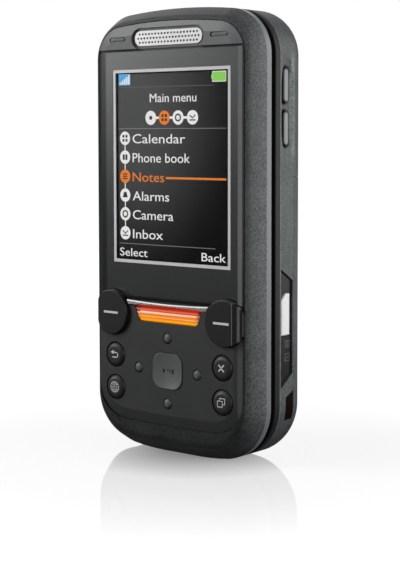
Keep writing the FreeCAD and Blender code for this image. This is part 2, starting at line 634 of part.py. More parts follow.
def bowed_outline(half, top, top_radius, top_bow, bottom, bottom_radius, bottom_bow, foot):
    """An upright rounded outline whose top bows all across and whose bottom bows beside a flat foot."""
    def draw(sketch):
        h, zt, rt, bt, zb, rb, bb, f = (value(size) for size in (
            half, top, top_radius, top_bow, bottom, bottom_radius, bottom_bow, foot))
        low_z = zb + bb - sqrt((bb - rb) ** 2 - (h - rb - f) ** 2)
        high_z = zt - bt + sqrt((bt - rt) ** 2 - (h - rt) ** 2)
        low_turn = degrees(atan2(low_z - zb - bb, h - rb - f))
        high_turn = degrees(atan2(high_z - zt + bt, h - rt))
        numbers = tangent_loop(sketch, [
            line((-f, zb), (f, zb)),
            arc((f, zb + bb), bb, -90, low_turn), arc((h - rb, low_z), rb, low_turn, 0),
            line((h, low_z), (h, high_z)),
            arc((h - rt, high_z), rt, 0, high_turn), arc((0, zt - bt), bt, high_turn, 180 - high_turn),
            arc((rt - h, high_z), rt, 180 - high_turn, 180),
            line((-h, high_z), (-h, low_z)),
            arc((rb - h, low_z), rb, 180, 180 - low_turn), arc((-f, zb + bb), bb, 180 - low_turn, 270)])
        place(sketch, numbers[0], 1, -foot, bottom)
        place(sketch, numbers[0], 2, foot, bottom)
        place(sketch, numbers[5], 3, 0, top - top_bow)
        for number, size in ((1, bottom_bow), (9, bottom_bow), (2, bottom_radius), (8, bottom_radius),
                             (4, top_radius), (6, top_radius), (5, top_bow)):
            bind(sketch, Sketcher.Constraint("Radius", numbers[number], value(size)), size)
        for number, size in ((3, half), (7, -half)):
            sketch.addConstraint(Sketcher.Constraint("Vertical", numbers[number]))
            bind(sketch, Sketcher.Constraint("DistanceX", -1, 1, numbers[number], 1, value(size)), size)
    return draw


def phone_outline(inset):
    """The outline of both halves, set in by inset."""
    return bowed_outline(HALF - inset, S.height - inset, S.top_radius - inset, S.top_bow - inset,
                         inset + 0, S.bottom_radius - inset, S.bottom_bow - inset, S.foot_half)


def panel_outline(inset):
    """The outline of the three front panels, set in by inset."""
    within = S.panel_gap + inset
    return bowed_outline(PANEL_HALF - inset, PANEL_TOP - inset, S.panel_top_radius - within,
                         S.top_bow - S.rim_width - within, S.panel_bottom + within,
                         S.panel_bottom_radius - within, S.panel_bottom_bow - within, S.foot_half)


# ---------------------------------------------------------------------------------------------- features

# The origin plane that lies across each axis, and whether its sketches face along (1) or against (-1) it.
PLANES = {"X": ("YZ_Plane", 1), "Y": ("XZ_Plane", -1), "Z": ("XY_Plane", 1)}


def new_body(name):
    body = doc.addObject("PartDesign::Body", name)
    body.Label = name
    return body


def new_sketch(body, axis, at, drawings):
    """A sketch across axis, at a distance along it."""
    role, facing = PLANES[axis]
    sketch = body.newObject("Sketcher::SketchObject", body.Name + "_sketch")
    plane = next(feature for feature in body.Origin.OriginFeatures if feature.Role == role)
    sketch.AttachmentSupport = [(plane, "")]
    sketch.MapMode = "FlatFace"
    sketch.setExpression("AttachmentOffset.Base.z", text(at * facing))
    for draw in drawings:
        draw(sketch)
    return sketch


def extrude(body, kind, axis, base, length, drawings):
    feature = body.newObject("PartDesign::" + kind, body.Name + "_" + kind.lower())
    feature.Profile = new_sketch(body, axis, base, drawings)
    feature.setExpression("Length", text(length))
    doc.recompute()
    return feature


def add(body, axis, start, end, *drawings):
    """Add material between two places along an axis."""
    facing = PLANES[axis][1]
    return extrude(body, "Pad", axis, start if facing > 0 else end, end - start, drawings)


def cut(body, axis, start, end, *drawings):
    """Take material away between two places along an axis."""
    facing = PLANES[axis][1]
    before = body.Shape.Volume
    feature = extrude(body, "Pocket", axis, end if facing > 0 else start, end - start, drawings)
    if not body.Shape.Volume < before:
        raise ValueError(f"{feature.Name} takes nothing away")
    return feature


def soften(body, radius, wanted, kind="Fillet"):
    """Round or chamfer the edges of a body that wanted() picks."""
    base = body.Tip
    names = [f"Edge{n}" for n, edge in enumerate(base.Shape.Edges, start=1) if wanted(edge)]
    if not names:
        raise ValueError(f"{body.Name}: no edge to soften")
    feature = body.newObject("PartDesign::" + kind, body.Name + "_" + kind.lower())
    feature.Base = (base, names)
    feature.setExpression("Radius" if kind == "Fillet" else "Size", text(radius))
    doc.recompute()
    return feature


def flat_at(axis, at, slack=1e-4):
    """A test for edges that lie wholly at one place along an axis."""
    letter = axis.lower()

    def wanted(edge):
        points = [vertex.Point for vertex in edge.Vertexes] + [edge.CenterOfMass]
        return all(abs(getattr(point, letter) - value(at)) < slack for point in points)
    return wanted


def keep_between(body, low, high):
    """Cut a full-size slab down to what lies between two heights."""
    if low is not None:
        cut(body, "Y", AHEAD, BEHIND, rectangle(-S.width, S.width, -S.height, low))
    if high is not None:
        cut(body, "Y", AHEAD, BEHIND, rectangle(-S.width, S.width, high, BIG))


# ------------------------------------------------------------------------------------------- front half

def screw_places(low_x, low_z, high_x, high_z):
    return [(low_x, low_z), (-low_x, low_z), (high_x, high_z), (-high_x, high_z)]


FRONT_SCREWS = screw_places(S.front_screw_low_x, S.front_screw_low_z,
                            S.front_screw_high_x, S.front_screw_high_z)
REAR_SCREWS = screw_places(S.rear_screw_low_x, S.rear_screw_low_z,
                           S.rear_screw_high_x, S.rear_screw_high_z)


def make_front_cover():
    """The front housing: a rim that slopes back to the sides, a ledge for the panels, and screw bosses."""
    body = new_body("front_cover")
    low = new_sketch(body, "Y", S.rim_slope_end_y, [phone_outline(Size(0.0, "0"))])
    high = new_sketch(body, "Y", S.rim_y, [phone_outline(S.rim_slope_width)])
    loft = body.newObject("PartDesign::AdditiveLoft", "front_cover_rim")
    loft.Profile = low
    loft.Sections = [high]
    loft.Ruled = True
    doc.recompute()
    add(body, "Y", S.rim_slope_end_y, S.front_split_y, phone_outline(Size(0.0, "0")))
    soften(body, S.rim_round, flat_at("Y", S.rim_y))
    cut(body, "Y", AHEAD, PANEL_BACK_Y, panel_outline(-S.panel_gap))
    cut(body, "Y", AHEAD, LEDGE_BACK_Y, panel_outline(S.ledge_width))
    cut(body, "Y", LEDGE_BACK_Y, S.front_split_y, phone_outline(S.front_wall))
    for low, high in ((S.seam_z - S.rib_height / 2, S.seam_z + S.rib_height / 2),
                      (S.window_bottom - S.lower_rib, S.window_bottom + S.lower_rib_rise)):
        add(body, "Y", PANEL_BACK_Y, LEDGE_BACK_Y,
            rectangle(S.ledge_width - PANEL_HALF, PANEL_HALF - S.ledge_width, low, high))
    bosses = [circle(x, z, S.boss_radius) for x, z in FRONT_SCREWS]
    boss_end = S.front_split_y - S.tongue_depth - S.stack_gap
    add(body, "Y", LEDGE_BACK_Y - S.ledge_thickness / 2, boss_end, *bosses)
    cut(body, "Y", LEDGE_BACK_Y, boss_end,
        *[circle(x, z, S.screw_radius + S.screw_bite) for x, z in FRONT_SCREWS])
    return body


def panel_blank(name):
    """The slab that the window and both panels are cut from, with its bevelled edge."""
    body = new_body(name)
    bevel_end = S.panel_y + S.panel_bevel_depth
    low = new_sketch(body, "Y", bevel_end, [panel_outline(Size(0.0, "0"))])
    high = new_sketch(body, "Y", S.panel_y, [panel_outline(S.panel_bevel_width)])
    loft = body.newObject("PartDesign::AdditiveLoft", name + "_bevel")
    loft.Profile = low
    loft.Sections = [high]
    loft.Ruled = True
    doc.recompute()
    add(body, "Y", bevel_end, PANEL_BACK_Y, panel_outline(Size(0.0, "0")))
    return body


def make_earpiece_panel():
    body = panel_blank("earpiece_panel")
    keep_between(body, S.seam_z + S.seam / 2, None)
    seat_y = S.panel_y + S.slot_depth
    cut(body, "Y", AHEAD, seat_y, stadium(0, S.slot_z, S.slot_half, S.slot_height / 2))
    cut(body, "Y", AHEAD, PANEL_BACK_Y, stadium(0, S.slot_z, S.sound_half, S.sound_height / 2))
    for side in (-1, 1):
        cut(body, "Y", AHEAD, S.panel_y + S.mark_depth,
            stadium(side * S.mark_x, S.slot_z, S.mark_half, S.mark_height / 2),
            stadium(side * S.mark_x, S.slot_z, S.mark_half - S.mark_bar, S.mark_bar / 2))
    return body


def make_earpiece_grille():
    """Thin bright sheet with three rows of holes, the outer two half a step along."""
    body = new_body("earpiece_grille")
    back_y = S.panel_y + S.slot_depth
    front_y = back_y - S.grille_thickness
    add(body, "Y", front_y, back_y, stadium(0, S.slot_z, S.grille_half, S.grille_height / 2))
    step = S.grille_pitch
    rows = {0: S.grille_columns, 1: S.grille_columns - 1, -1: S.grille_columns - 1}
    holes = []
    for row, count in rows.items():
        for column in range(int(value(count))):
            across = (column - (count - 1) / 2) * step
            holes.append(circle(across, S.slot_z + row * step, S.grille_hole))
    cut(body, "Y", front_y, back_y, *holes)
    return body


def make_earpiece_speaker():
    body = new_body("earpiece_speaker")
    add(body, "Y", PANEL_BACK_Y + S.stack_gap, S.module_back_y,
        stadium(0, S.slot_z, S.speaker_half, S.speaker_height / 2))
    return body


def soft_key_hole(side, gap):
    return circle(side * S.soft_x, S.soft_z, S.soft_radius + gap)


def make_display_window():
    body = panel_blank("display_window")
    keep_between(body, S.window_bottom, S.seam_z - S.seam / 2)
    cut(body, "Y", AHEAD, BEHIND, *[soft_key_hole(side, S.key_gap) for side in (-1, 1)])
    return body


def make_display_frame():
    body = new_body("display_frame")
    front_y = PANEL_BACK_Y + S.frame_gap
    bar = S.frame_bar
    add(body, "Y", front_y, front_y + S.frame_thickness,
        rectangle(-S.frame_half, S.frame_half, S.frame_bottom, S.frame_top),
        rectangle(bar - S.frame_half, S.frame_half - bar, S.frame_bottom + bar, S.frame_top - bar))
    return body


def make_display_module():
    """Display in its tray, with the glass standing out inside the silver frame."""
    body = new_body("display_module")
    add(body, "Y", S.module_y, S.module_back_y,
        rectangle(-S.module_half, S.module_half, S.module_bottom, S.module_top))
    add(body, "Y", S.glass_y, S.module_y,
        rectangle(-S.frame_half, S.frame_half, S.frame_bottom, S.frame_top))
    return body


def light_bar_outline(gap):
    """Light bar's outline: wider at its upper edge, with the lower corners cut off."""
    low_half = S.light_half - S.light_end_slant + gap
    top_half = S.light_half + gap
    low, top, corner = S.light_bottom - gap, S.light_top + gap, S.light_corner
    return polygon((corner - low_half, low), (low_half - corner, low), (low_half, low + corner),
                   (top_half, top), (-top_half, top), (-low_half, low + corner))


FRONT_KEYS = {"back_key": (-S.round_x, S.round_upper_z), "internet_key": (-S.round_x, S.round_lower_z),
              "clear_key": (S.round_x, S.round_upper_z), "activity_key": (S.round_x, S.round_lower_z)}
NAVIGATION_KEYS = {"nav_up_key": (0 * S.nav_side, S.nav_z + S.nav_rise),
                   "nav_down_key": (0 * S.nav_side, S.nav_z - S.nav_rise),
                   "nav_left_key": (-S.nav_side, S.nav_z), "nav_right_key": (S.nav_side, S.nav_z)}


def select_outline(gap):
    return rounded(-S.select_half - gap, S.select_half + gap, S.nav_z - S.select_height / 2 - gap,
                   S.nav_z + S.select_height / 2 + gap, S.select_corner + gap)


def make_keypad_panel():
    body = panel_blank("keypad_panel")
    keep_between(body, None, CHROME_BOTTOM - S.bar_gap)
    cut(body, "Y", AHEAD, BEHIND, *[soft_key_hole(side, S.key_gap) for side in (-1, 1)])
    cut(body, "Y", AHEAD, BEHIND, light_bar_outline(S.light_gap))
    cut(body, "Y", AHEAD, BEHIND,
        *[circle(x, z, S.round_radius + S.key_gap) for x, z in FRONT_KEYS.values()])
    cut(body, "Y", AHEAD, BEHIND,
        *[circle(x, z, S.nav_radius + S.key_gap) for x, z in NAVIGATION_KEYS.values()])
    cut(body, "Y", AHEAD, BEHIND, select_outline(S.key_gap))
    return body


def crescent(half, high, dip, height, waist):
    """A bar hollowed along both edges, with slanting ends; dip is the upper edge's sag."""
    def draw(sketch):
        low_half = half - height / 2
        rise = dip + waist - height
        h, lh, top, low = value(half), value(low_half), value(high), value(high - height)
        upper = Part.Arc(Vector(-h, top, 0), Vector(0, value(high - dip), 0), Vector(h, top, 0))
        lower = Part.Arc(Vector(lh, low, 0), Vector(0, value(high - dip - waist), 0), Vector(-lh, low, 0))
        above, below = sketch.addGeometry(upper, False), sketch.addGeometry(lower, False)
        right = sketch.addGeometry(line((h, top), (lh, low)), False)
        left = sketch.addGeometry(line((-lh, low), (-h, top)), False)
        for this, that, other, end in ((right, 1, above, 2), (left, 2, above, 1),
                                       (right, 2, below, 1), (left, 1, below, 2)):
            sketch.addConstraint(Sketcher.Constraint("Coincident", this, that, other, end))
        place(sketch, left, 2, -half, high)
        place(sketch, right, 1, half, high)
        place(sketch, right, 2, low_half, high - height)
        place(sketch, left, 1, -low_half, high - height)
        upper_radius = (half * half + dip * dip) / (2 * dip)
        lower_radius = (low_half * low_half + rise * rise) / (-2 * rise)
        bind(sketch, Sketcher.Constraint("Radius", above, value(upper_radius)), upper_radius)
        bind(sketch, Sketcher.Constraint("Radius", below, value(lower_radius)), lower_radius)
    return draw


def make_chrome_bar():
    """Bright lip over the light bar: thin in the middle and deeper towards its ends."""
    body = new_body("chrome_bar")
    front_y = S.panel_y - S.bar_proud
    add(body, "Y", front_y, PANEL_BACK_Y,
        crescent(S.bar_half, CHROME_TOP, S.bar_dip, S.bar_height, S.bar_waist))
    at_front = flat_at("Y", front_y)
    soften(body, S.bar_round, lambda edge: at_front(edge) and edge.Length > value(S.bar_half), "Chamfer")
    return body


def make_light_bar():
    body = new_body("light_bar")
    front_y = S.panel_y - S.light_proud
    add(body, "Y", front_y, S.light_back_y, light_bar_outline(0))
    soften(body, S.light_round, flat_at("Y", front_y))
    return body


def carriage_channel(margin):
    low = S.carriage_bottom - S.travel - S.channel_spare
    return rectangle(-S.channel_half, S.channel_half, low + margin, S.carriage_top + S.channel_spare - margin)


def flex_slot(z):
    margin = S.flex_slot_margin
    reach = S.flex_half + margin
    return rectangle(S.flex_x - reach, S.flex_x + reach, z - margin, z + margin)


def make_slider_back_cover():
    """Rear shell of the front half: a band round the side, a tongue, and a channel for the rails."""
    body = new_body("slider_back_cover")
    add(body, "Y", S.front_split_y, S.slider_back_y, phone_outline(Size(0.0, "0")))
    add(body, "Y", S.front_split_y - S.tongue_depth, S.front_split_y,
        phone_outline(S.front_wall + S.tongue_gap))
    soften(body, S.slider_edge_round, flat_at("Y", S.slider_back_y))
    cut(body, "Y", S.channel_floor_y, S.slider_back_y, carriage_channel(0))
    cut(body, "Y", AHEAD, BEHIND, flex_slot(S.flex_front_z))
    cut(body, "Y", AHEAD, BEHIND,
        *[circle(x, z, S.screw_radius + S.screw_clear) for x, z in FRONT_SCREWS])
    cut(body, "Y", S.slider_back_y - S.head_height - S.head_gap, S.slider_back_y,
        *[circle(x, z, S.head_radius + S.head_gap) for x, z in FRONT_SCREWS])
    return body


RAIL_BACK_Y = S.slider_back_y - S.rail_sunk
RAIL_BASE_BACK_Y = S.channel_floor_y + S.rail_sheet
LIP_FRONT_Y = RAIL_BACK_Y - S.rail_sheet
RAIL_LOW = S.carriage_bottom - S.travel - S.channel_spare + S.rail_end_gap
RAIL_HIGH = S.carriage_top + S.channel_spare - S.rail_end_gap
SPRING_MOVING_Z = S.spring_fixed_z - S.travel / 2


def make_slide_rail_plate():
    """Steel plate of the front half, with a lipped rail down each side and a pin for the spring."""
    body = new_body("slide_rail_plate")
    wall = S.rail_half - S.rail_sheet
    add(body, "Z", RAIL_LOW, RAIL_HIGH, polygon(
        (-S.rail_half, S.channel_floor_y), (S.rail_half, S.channel_floor_y), (S.rail_half, RAIL_BACK_Y),
        (LIP_INNER, RAIL_BACK_Y), (LIP_INNER, LIP_FRONT_Y), (wall, LIP_FRONT_Y), (wall, RAIL_BASE_BACK_Y),
        (-wall, RAIL_BASE_BACK_Y), (-wall, LIP_FRONT_Y), (-LIP_INNER, LIP_FRONT_Y), (-LIP_INNER, RAIL_BACK_Y),
        (-S.rail_half, RAIL_BACK_Y)))
    cut(body, "Y", AHEAD, BEHIND, flex_slot(S.flex_front_z))
    add(body, "Y", S.channel_floor_y, RAIL_BASE_BACK_Y + S.pin_height,
        circle(S.spring_moving_x, SPRING_MOVING_Z, S.pin_radius))
    return body


def dome_y():
    return S.front_board_y - S.dome_height


def make_front_circuit_board():
    """Board of the front half, with a switch dome under every front key."""
    body = new_body("front_circuit_board")
    add(body, "Y", S.front_board_y, FRONT_BOARD_BACK_Y,
        rectangle(-S.front_board_half, S.front_board_half, S.front_board_bottom, S.front_board_top))
    places = list(FRONT_KEYS.values()) + [(0 * S.nav_side, S.nav_z)]
    places += [(side * (S.soft_x - S.dome_radius), S.soft_z) for side in (-1, 1)]
    add(body, "Y", dome_y(), S.front_board_y, *[circle(x, z, S.dome_radius) for x, z in places])
    add(body, "Y", dome_y(), S.front_board_y,
        *[circle(x, z, S.dome_radius / 2) for x, z in NAVIGATION_KEYS.values()])
    return body


def group(name, pieces):
    """Several like solids under one name."""
    compound = doc.addObject("Part::Compound", name)
    compound.Label = name
    compound.Links = pieces
    return compound


def cylinder_along_y(name, x, z, start, end, radius):
    """A cylinder along Y between two places."""
    piece = doc.addObject("Part::Cylinder", name)
    piece.setExpression("Radius", text(radius))
    piece.setExpression("Height", text(end - start))
    piece.Placement = FreeCAD.Placement(Vector(0, 0, 0), FreeCAD.Rotation(Vector(1, 0, 0), -90))
    for axis, size in (("x", x), ("y", start), ("z", z)):
        piece.setExpression(f"Placement.Base.{axis}", text(size))
    return piece


def make_screws(name, places, head_y, tip_y):
    """Screws whose heads lie at the back, at head_y, and whose shanks reach forward to tip_y."""
    screws = []
    for number, (x, z) in enumerate(places, start=1):
        head = cylinder_along_y(f"{name}_head{number}", x, z, head_y - S.head_height, head_y, S.head_radius)
        shank = cylinder_along_y(f"{name}_shank{number}", x, z, tip_y, head_y, S.screw_radius)
        screw = doc.addObject("Part::Fuse", f"{name}_{number}")
        screw.Base = head
        screw.Tool = shank
        screws.append(screw)
    return group(name, screws)


def make_front_screws():
    return make_screws("front_screws", FRONT_SCREWS, S.slider_back_y - S.head_gap,
                       LEDGE_BACK_Y + S.head_gap)


def stem_end():
    return dome_y() - S.dome_gap


def make_soft_key(name, side):
    """Large disc whose outer side is cut by the panel's edge and slopes down to it."""
    body = new_body(name)
    edge = PANEL_HALF + S.panel_gap / 2
    add(body, "Y", S.front_y, S.soft_underside_y, circle(side * S.soft_x, S.soft_z, S.soft_radius))
    soften(body, S.soft_round, flat_at("Y", S.front_y))
    beyond = side * S.width
    limit = side * edge
    low, high = S.soft_z - S.soft_radius * 2, S.soft_z + S.soft_radius * 2
    cut(body, "Y", S.front_y, S.soft_underside_y, rectangle(*sorted((limit, beyond), key=value), low, high))
    start = side * S.soft_flat_x
    top = S.front_y
    cut(body, "Z", low, high, polygon(
        (start, top), (limit, top + S.soft_edge_drop), (beyond, top + S.soft_edge_drop), (beyond, top - 1),
        (start, top - 1)))
    boss_x = side * (S.soft_x - S.key_flange)
    add(body, "Y", S.soft_underside_y, LEDGE_BACK_Y, circle(boss_x, S.soft_z, S.soft_boss_radius))
    add(body, "Y", LEDGE_BACK_Y, stem_end(),
        circle(side * (S.soft_x - S.dome_radius), S.soft_z, S.stem_radius))
    return body


def make_round_key(name, x, z, radius, proud, dome):
    """Round key with a domed face, a flange under the panel and a stem."""
    body = new_body(name)
    face_y = S.panel_y - proud
    flange_y = PANEL_BACK_Y + S.flange_gap
    add(body, "Y", face_y, flange_y, circle(x, z, radius))
    soften(body, dome, flat_at("Y", face_y))
    add(body, "Y", flange_y, flange_y + S.flange_thickness, circle(x, z, radius + S.key_flange))
    add(body, "Y", flange_y + S.flange_thickness, stem_end(), circle(x, z, S.stem_radius))
    return body


def make_select_key():
    """Rounded square key with a shallow dish in its face."""
    body = new_body("select_key")
    face_y = S.panel_y - S.select_proud
    flange_y = PANEL_BACK_Y + S.flange_gap
    middle = 0 * S.nav_side
    add(body, "Y", face_y, flange_y, select_outline(0))
    soften(body, S.select_round, flat_at("Y", face_y))
    ball = body.newObject("PartDesign::SubtractiveSphere", "select_key_dish")
    plane = next(feature for feature in body.Origin.OriginFeatures if feature.Role == "XZ_Plane")
    ball.AttachmentSupport = [(plane, "")]
    ball.MapMode = "FlatFace"
    ball.setExpression("Radius", text(S.dish_radius))
    ball.setExpression("AttachmentOffset.Base.y", text(S.nav_z))
    ball.setExpression("AttachmentOffset.Base.z", text(S.dish_radius - face_y - S.select_dish))
    doc.recompute()
    add(body, "Y", flange_y, flange_y + S.flange_thickness, select_outline(S.key_flange))
    add(body, "Y", flange_y + S.flange_thickness, stem_end(), circle(middle, S.nav_z, S.stem_radius))
    return body


# -------------------------------------------------------------------------------------------- rear half

def number_places():
    """The twelve number keys, from the top row's left key: name, and the middle of each."""
    names = ["1", "2", "3", "4", "5", "6", "7", "8", "9", "star", "0", "hash"]
    places = {}
    for index, name in enumerate(names):
        row, column = divmod(index, 3)
        x = (column - 1) * S.number_pitch_x
        z = S.number_middle_z + (1.5 - row) * S.number_pitch_z
        places[f"number_key_{name}"] = (x, z)
    return places


NUMBER_KEYS = number_places()


def number_outline(x, z, gap):
    return rounded(x - S.number_half - gap, x + S.number_half + gap, z - S.number_height / 2 - gap,
                   z + S.number_height / 2 + gap, S.number_corner + gap)


CARRIAGE_LEG = LIP_INNER - S.carriage_leg_gap
WEB_Y = DECK_Y + S.carriage_sunk
WEB_BACK_Y = WEB_Y + S.carriage_sheet


def make_keypad_deck():
    """Front shell of the rear half: a raised face set in from the side strip, with the number keypad."""
    body = new_body("keypad_deck")
    add(body, "Y", S.strip_y, S.deck_back_y, phone_outline(Size(0.0, "0")))
    soften(body, S.edge_round, flat_at("Y", S.strip_y))
    add(body, "Y", DECK_Y, S.deck_back_y, phone_outline(S.deck_inset))
    soften(body, S.edge_round, flat_at("Y", DECK_Y))
    cut(body, "Y", DECK_SKIN_BACK_Y, S.deck_back_y, phone_outline(S.deck_wall))
    cut(body, "Y", AHEAD, WEB_BACK_Y,
        rectangle(-CARRIAGE_LEG - S.carriage_leg_gap, CARRIAGE_LEG + S.carriage_leg_gap,
                  S.carriage_bottom - S.carriage_leg_gap, S.carriage_top + S.carriage_leg_gap))
    cut(body, "Y", AHEAD, BEHIND, flex_slot(S.flex_rear_z))
    cut(body, "Y", AHEAD, DECK_Y + S.tray_depth,
        rounded(-S.tray_half, S.tray_half, S.tray_bottom, S.tray_top, S.tray_radius))
    cut(body, "Y", AHEAD, BEHIND, *[number_outline(x, z, S.key_gap) for x, z in NUMBER_KEYS.values()])
    boss_end = S.main_board_y - S.stack_gap
    add(body, "Y", DECK_SKIN_BACK_Y - S.deck_skin / 2, boss_end,
        *[circle(x, z, S.boss_radius) for x, z in REAR_SCREWS])
    cut(body, "Y", DECK_SKIN_BACK_Y, boss_end,
        *[circle(x, z, S.screw_radius + S.screw_bite) for x, z in REAR_SCREWS])
    return body


def make_number_key(name, x, z):
    body = new_body(name)
    face_y = DECK_Y + S.number_sunk
    flange_y = DECK_SKIN_BACK_Y + S.flange_gap
    add(body, "Y", face_y, flange_y, number_outline(x, z, 0))
    soften(body, S.number_round, flat_at("Y", face_y))
    add(body, "Y", flange_y, flange_y + S.flange_thickness, number_outline(x, z, S.number_flange))
    stem_tip = S.main_board_y - S.dome_height - S.number_travel - S.flange_gap
    add(body, "Y", flange_y + S.flange_thickness, stem_tip, circle(x, z, S.stem_radius))
    return body


def make_slide_carriage():
    """Steel carriage of the rear half: a web in the deck, two legs, and a shoe that runs in each rail."""
    body = new_body("slide_carriage")
    shoe_front = RAIL_BASE_BACK_Y + S.shoe_gap
    shoe_back = LIP_FRONT_Y - S.shoe_gap
    shoe_end = S.rail_half - S.rail_sheet - S.shoe_gap * 2
    leg_in = CARRIAGE_LEG - S.carriage_sheet
    right = [(leg_in, WEB_Y), (leg_in, shoe_front), (shoe_end, shoe_front), (shoe_end, shoe_back),
             (CARRIAGE_LEG, shoe_back), (CARRIAGE_LEG, WEB_BACK_Y)]
    left = [(-x, y) for x, y in reversed(right)]
    add(body, "Z", S.carriage_bottom, S.carriage_top, polygon(*right, *left))
    cut(body, "Y", AHEAD, BEHIND, flex_slot(S.flex_rear_z))
    add(body, "Y", WEB_Y - S.pin_height, WEB_BACK_Y,
        circle(S.spring_fixed_x, S.spring_fixed_z, S.pin_radius))
    return body


def tangent_heading(here, there):
    """The heading of the straight run between two bends (middle x, middle z, radius, turn), in degrees."""
    across, up = there[0] - here[0], there[1] - here[1]
    swing = (there[3] * there[2] - here[3] * here[2]) / hypot(across, up)
    return degrees(atan2(up, across) - asin(swing))


def wire_path(bends, first_angle, last_angle):
    """A run of bends (middle x, middle z, radius, turn) joined by tangents; turn is 1 for anticlockwise."""
    def draw(sketch):
        plain = [(value(x), value(z), value(r), turn) for x, z, r, turn in bends]
        headings = [tangent_heading(here, there) for here, there in zip(plain, plain[1:])]
        enters = [first_angle] + [heading - 90 * bend[3] for heading, bend in zip(headings, plain[1:])]
        leaves = [heading - 90 * bend[3] for heading, bend in zip(headings, plain)] + [last_angle]
        arcs = []
        ends = []
        for (x, z, r, turn), enter, leave in zip(plain, enters, leaves):
            start, end = (enter, leave) if turn > 0 else (leave, enter)
            arcs.append(sketch.addGeometry(arc((x, z), r, start, end), False))
            turns = [radians(angle) for angle in (enter, leave)]
            ends.append([(x + r * cos(angle), z + r * sin(angle)) for angle in turns])
        for number, (x, z, radius, turn) in zip(arcs, bends):
            place(sketch, number, 3, x, z)
            bind(sketch, Sketcher.Constraint("Radius", number, value(radius)), radius)
        for index in range(len(bends) - 1):
            run = sketch.addGeometry(line(ends[index][1], ends[index + 1][0]), False)
            leave_point = 2 if bends[index][3] > 0 else 1
            enter_point = 1 if bends[index + 1][3] > 0 else 2
            sketch.addConstraint(Sketcher.Constraint("Tangent", arcs[index], leave_point, run, 1))
            sketch.addConstraint(Sketcher.Constraint("Tangent", run, 2, arcs[index + 1], enter_point))
    return draw


def make_slide_spring():
    """Bent wire between the two pins: an eye round each pin and two bends between them."""
    body = new_body("slide_spring")
    wire_y = (RAIL_BASE_BACK_Y + WEB_Y) / 2
    rise = (S.spring_fixed_z - SPRING_MOVING_Z) / 3
    bends = [(S.spring_moving_x, SPRING_MOVING_Z, S.spring_eye, 1),
             (S.spring_fixed_x - S.spring_bend, SPRING_MOVING_Z + rise, S.spring_bend, 1),
             (S.spring_moving_x + S.spring_bend, SPRING_MOVING_Z + 2 * rise, S.spring_bend, -1),
             (S.spring_fixed_x, S.spring_fixed_z, S.spring_eye, -1)]
    path = new_sketch(body, "Y", wire_y, [wire_path(bends, 0, -180)])
    section = new_sketch(body, "Z", SPRING_MOVING_Z,
                         [circle(S.spring_moving_x + S.spring_eye, wire_y, S.spring_wire)])
    pipe = body.newObject("PartDesign::AdditivePipe", "slide_spring_wire")
    pipe.Profile = section
    pipe.Spine = path
    doc.recompute()
    return body


def make_flex_cable():
    """Printed cable from the front board to the main board, folded once between the two halves."""
    body = new_body("flex_cable")
    thickness = S.flex_thickness
    upper_y = RAIL_BASE_BACK_Y + S.shoe_gap
    lower_y = WEB_Y - S.shoe_gap
    front_end = FRONT_BOARD_BACK_Y
    rear_end = S.main_board_y
    front_z = S.flex_front_z
    rear_z = S.flex_rear_z
    fold = S.flex_fold_z
    add(body, "X", S.flex_x - S.flex_half, S.flex_x + S.flex_half, polygon(
        (front_end, front_z), (upper_y + thickness, front_z), (upper_y + thickness, fold + thickness),
        (lower_y - thickness, fold + thickness), (lower_y - thickness, rear_z), (rear_end, rear_z),
        (rear_end, rear_z - thickness), (lower_y, rear_z - thickness), (lower_y, fold), (upper_y, fold),
        (upper_y, front_z - thickness), (front_end, front_z - thickness)))
    return body


def rear_blank(name):
    """The rear half's outer form, from the deck back, that the housing and the battery cover share."""
    body = new_body(name)
    add(body, "Y", S.deck_back_y, S.back_y, phone_outline(Size(0.0, "0")))
    soften(body, S.back_round, flat_at("Y", S.back_y))
    return body


def recess_outline(gap):
    front_y, back_y = S.recess_y + gap, S.recess_back_y - gap
    return polygon((front_y, S.recess_low_front + gap * 2), (back_y, S.recess_low_back + gap),
                   (back_y, S.recess_top_back - gap), (front_y, S.recess_top_front - gap * 2))


def camera_key_outline(gap):
    low_y, high_y = S.camera_key_y - gap, S.camera_key_back_y + gap
    low, high, slant = S.camera_key_low - gap, S.camera_key_high + gap, S.camera_key_slant
    return polygon((low_y, low), (high_y, low), (high_y, high), (low_y + slant, high), (low_y, high - slant))


def music_outline(gap):
    return stadium(S.music_y, S.music_z, S.music_reach + gap, S.music_half + gap, upright=True)


def infrared_outline(gap):
    low_y, high_y = S.infrared_y - gap, S.infrared_back_y + gap
    low, high, slant = S.infrared_low - gap, S.infrared_high + gap, S.infrared_slant
    return polygon((low_y, low), (high_y, low), (high_y, high), (low_y, high - slant))


RECESS_X = HALF - S.recess_depth
CAVITY_X = HALF - S.rear_wall
VOLUME_PAD_REACH = (S.volume_pad_far - S.volume_pad_near) / 2
VOLUME_PAD_MIDDLE = (S.volume_pad_far + S.volume_pad_near) / 2


def volume_pad(side, gap):
    return stadium(S.volume_y, S.volume_z + side * VOLUME_PAD_MIDDLE, VOLUME_PAD_REACH + gap,
                   S.volume_pad_half + gap, upright=True)


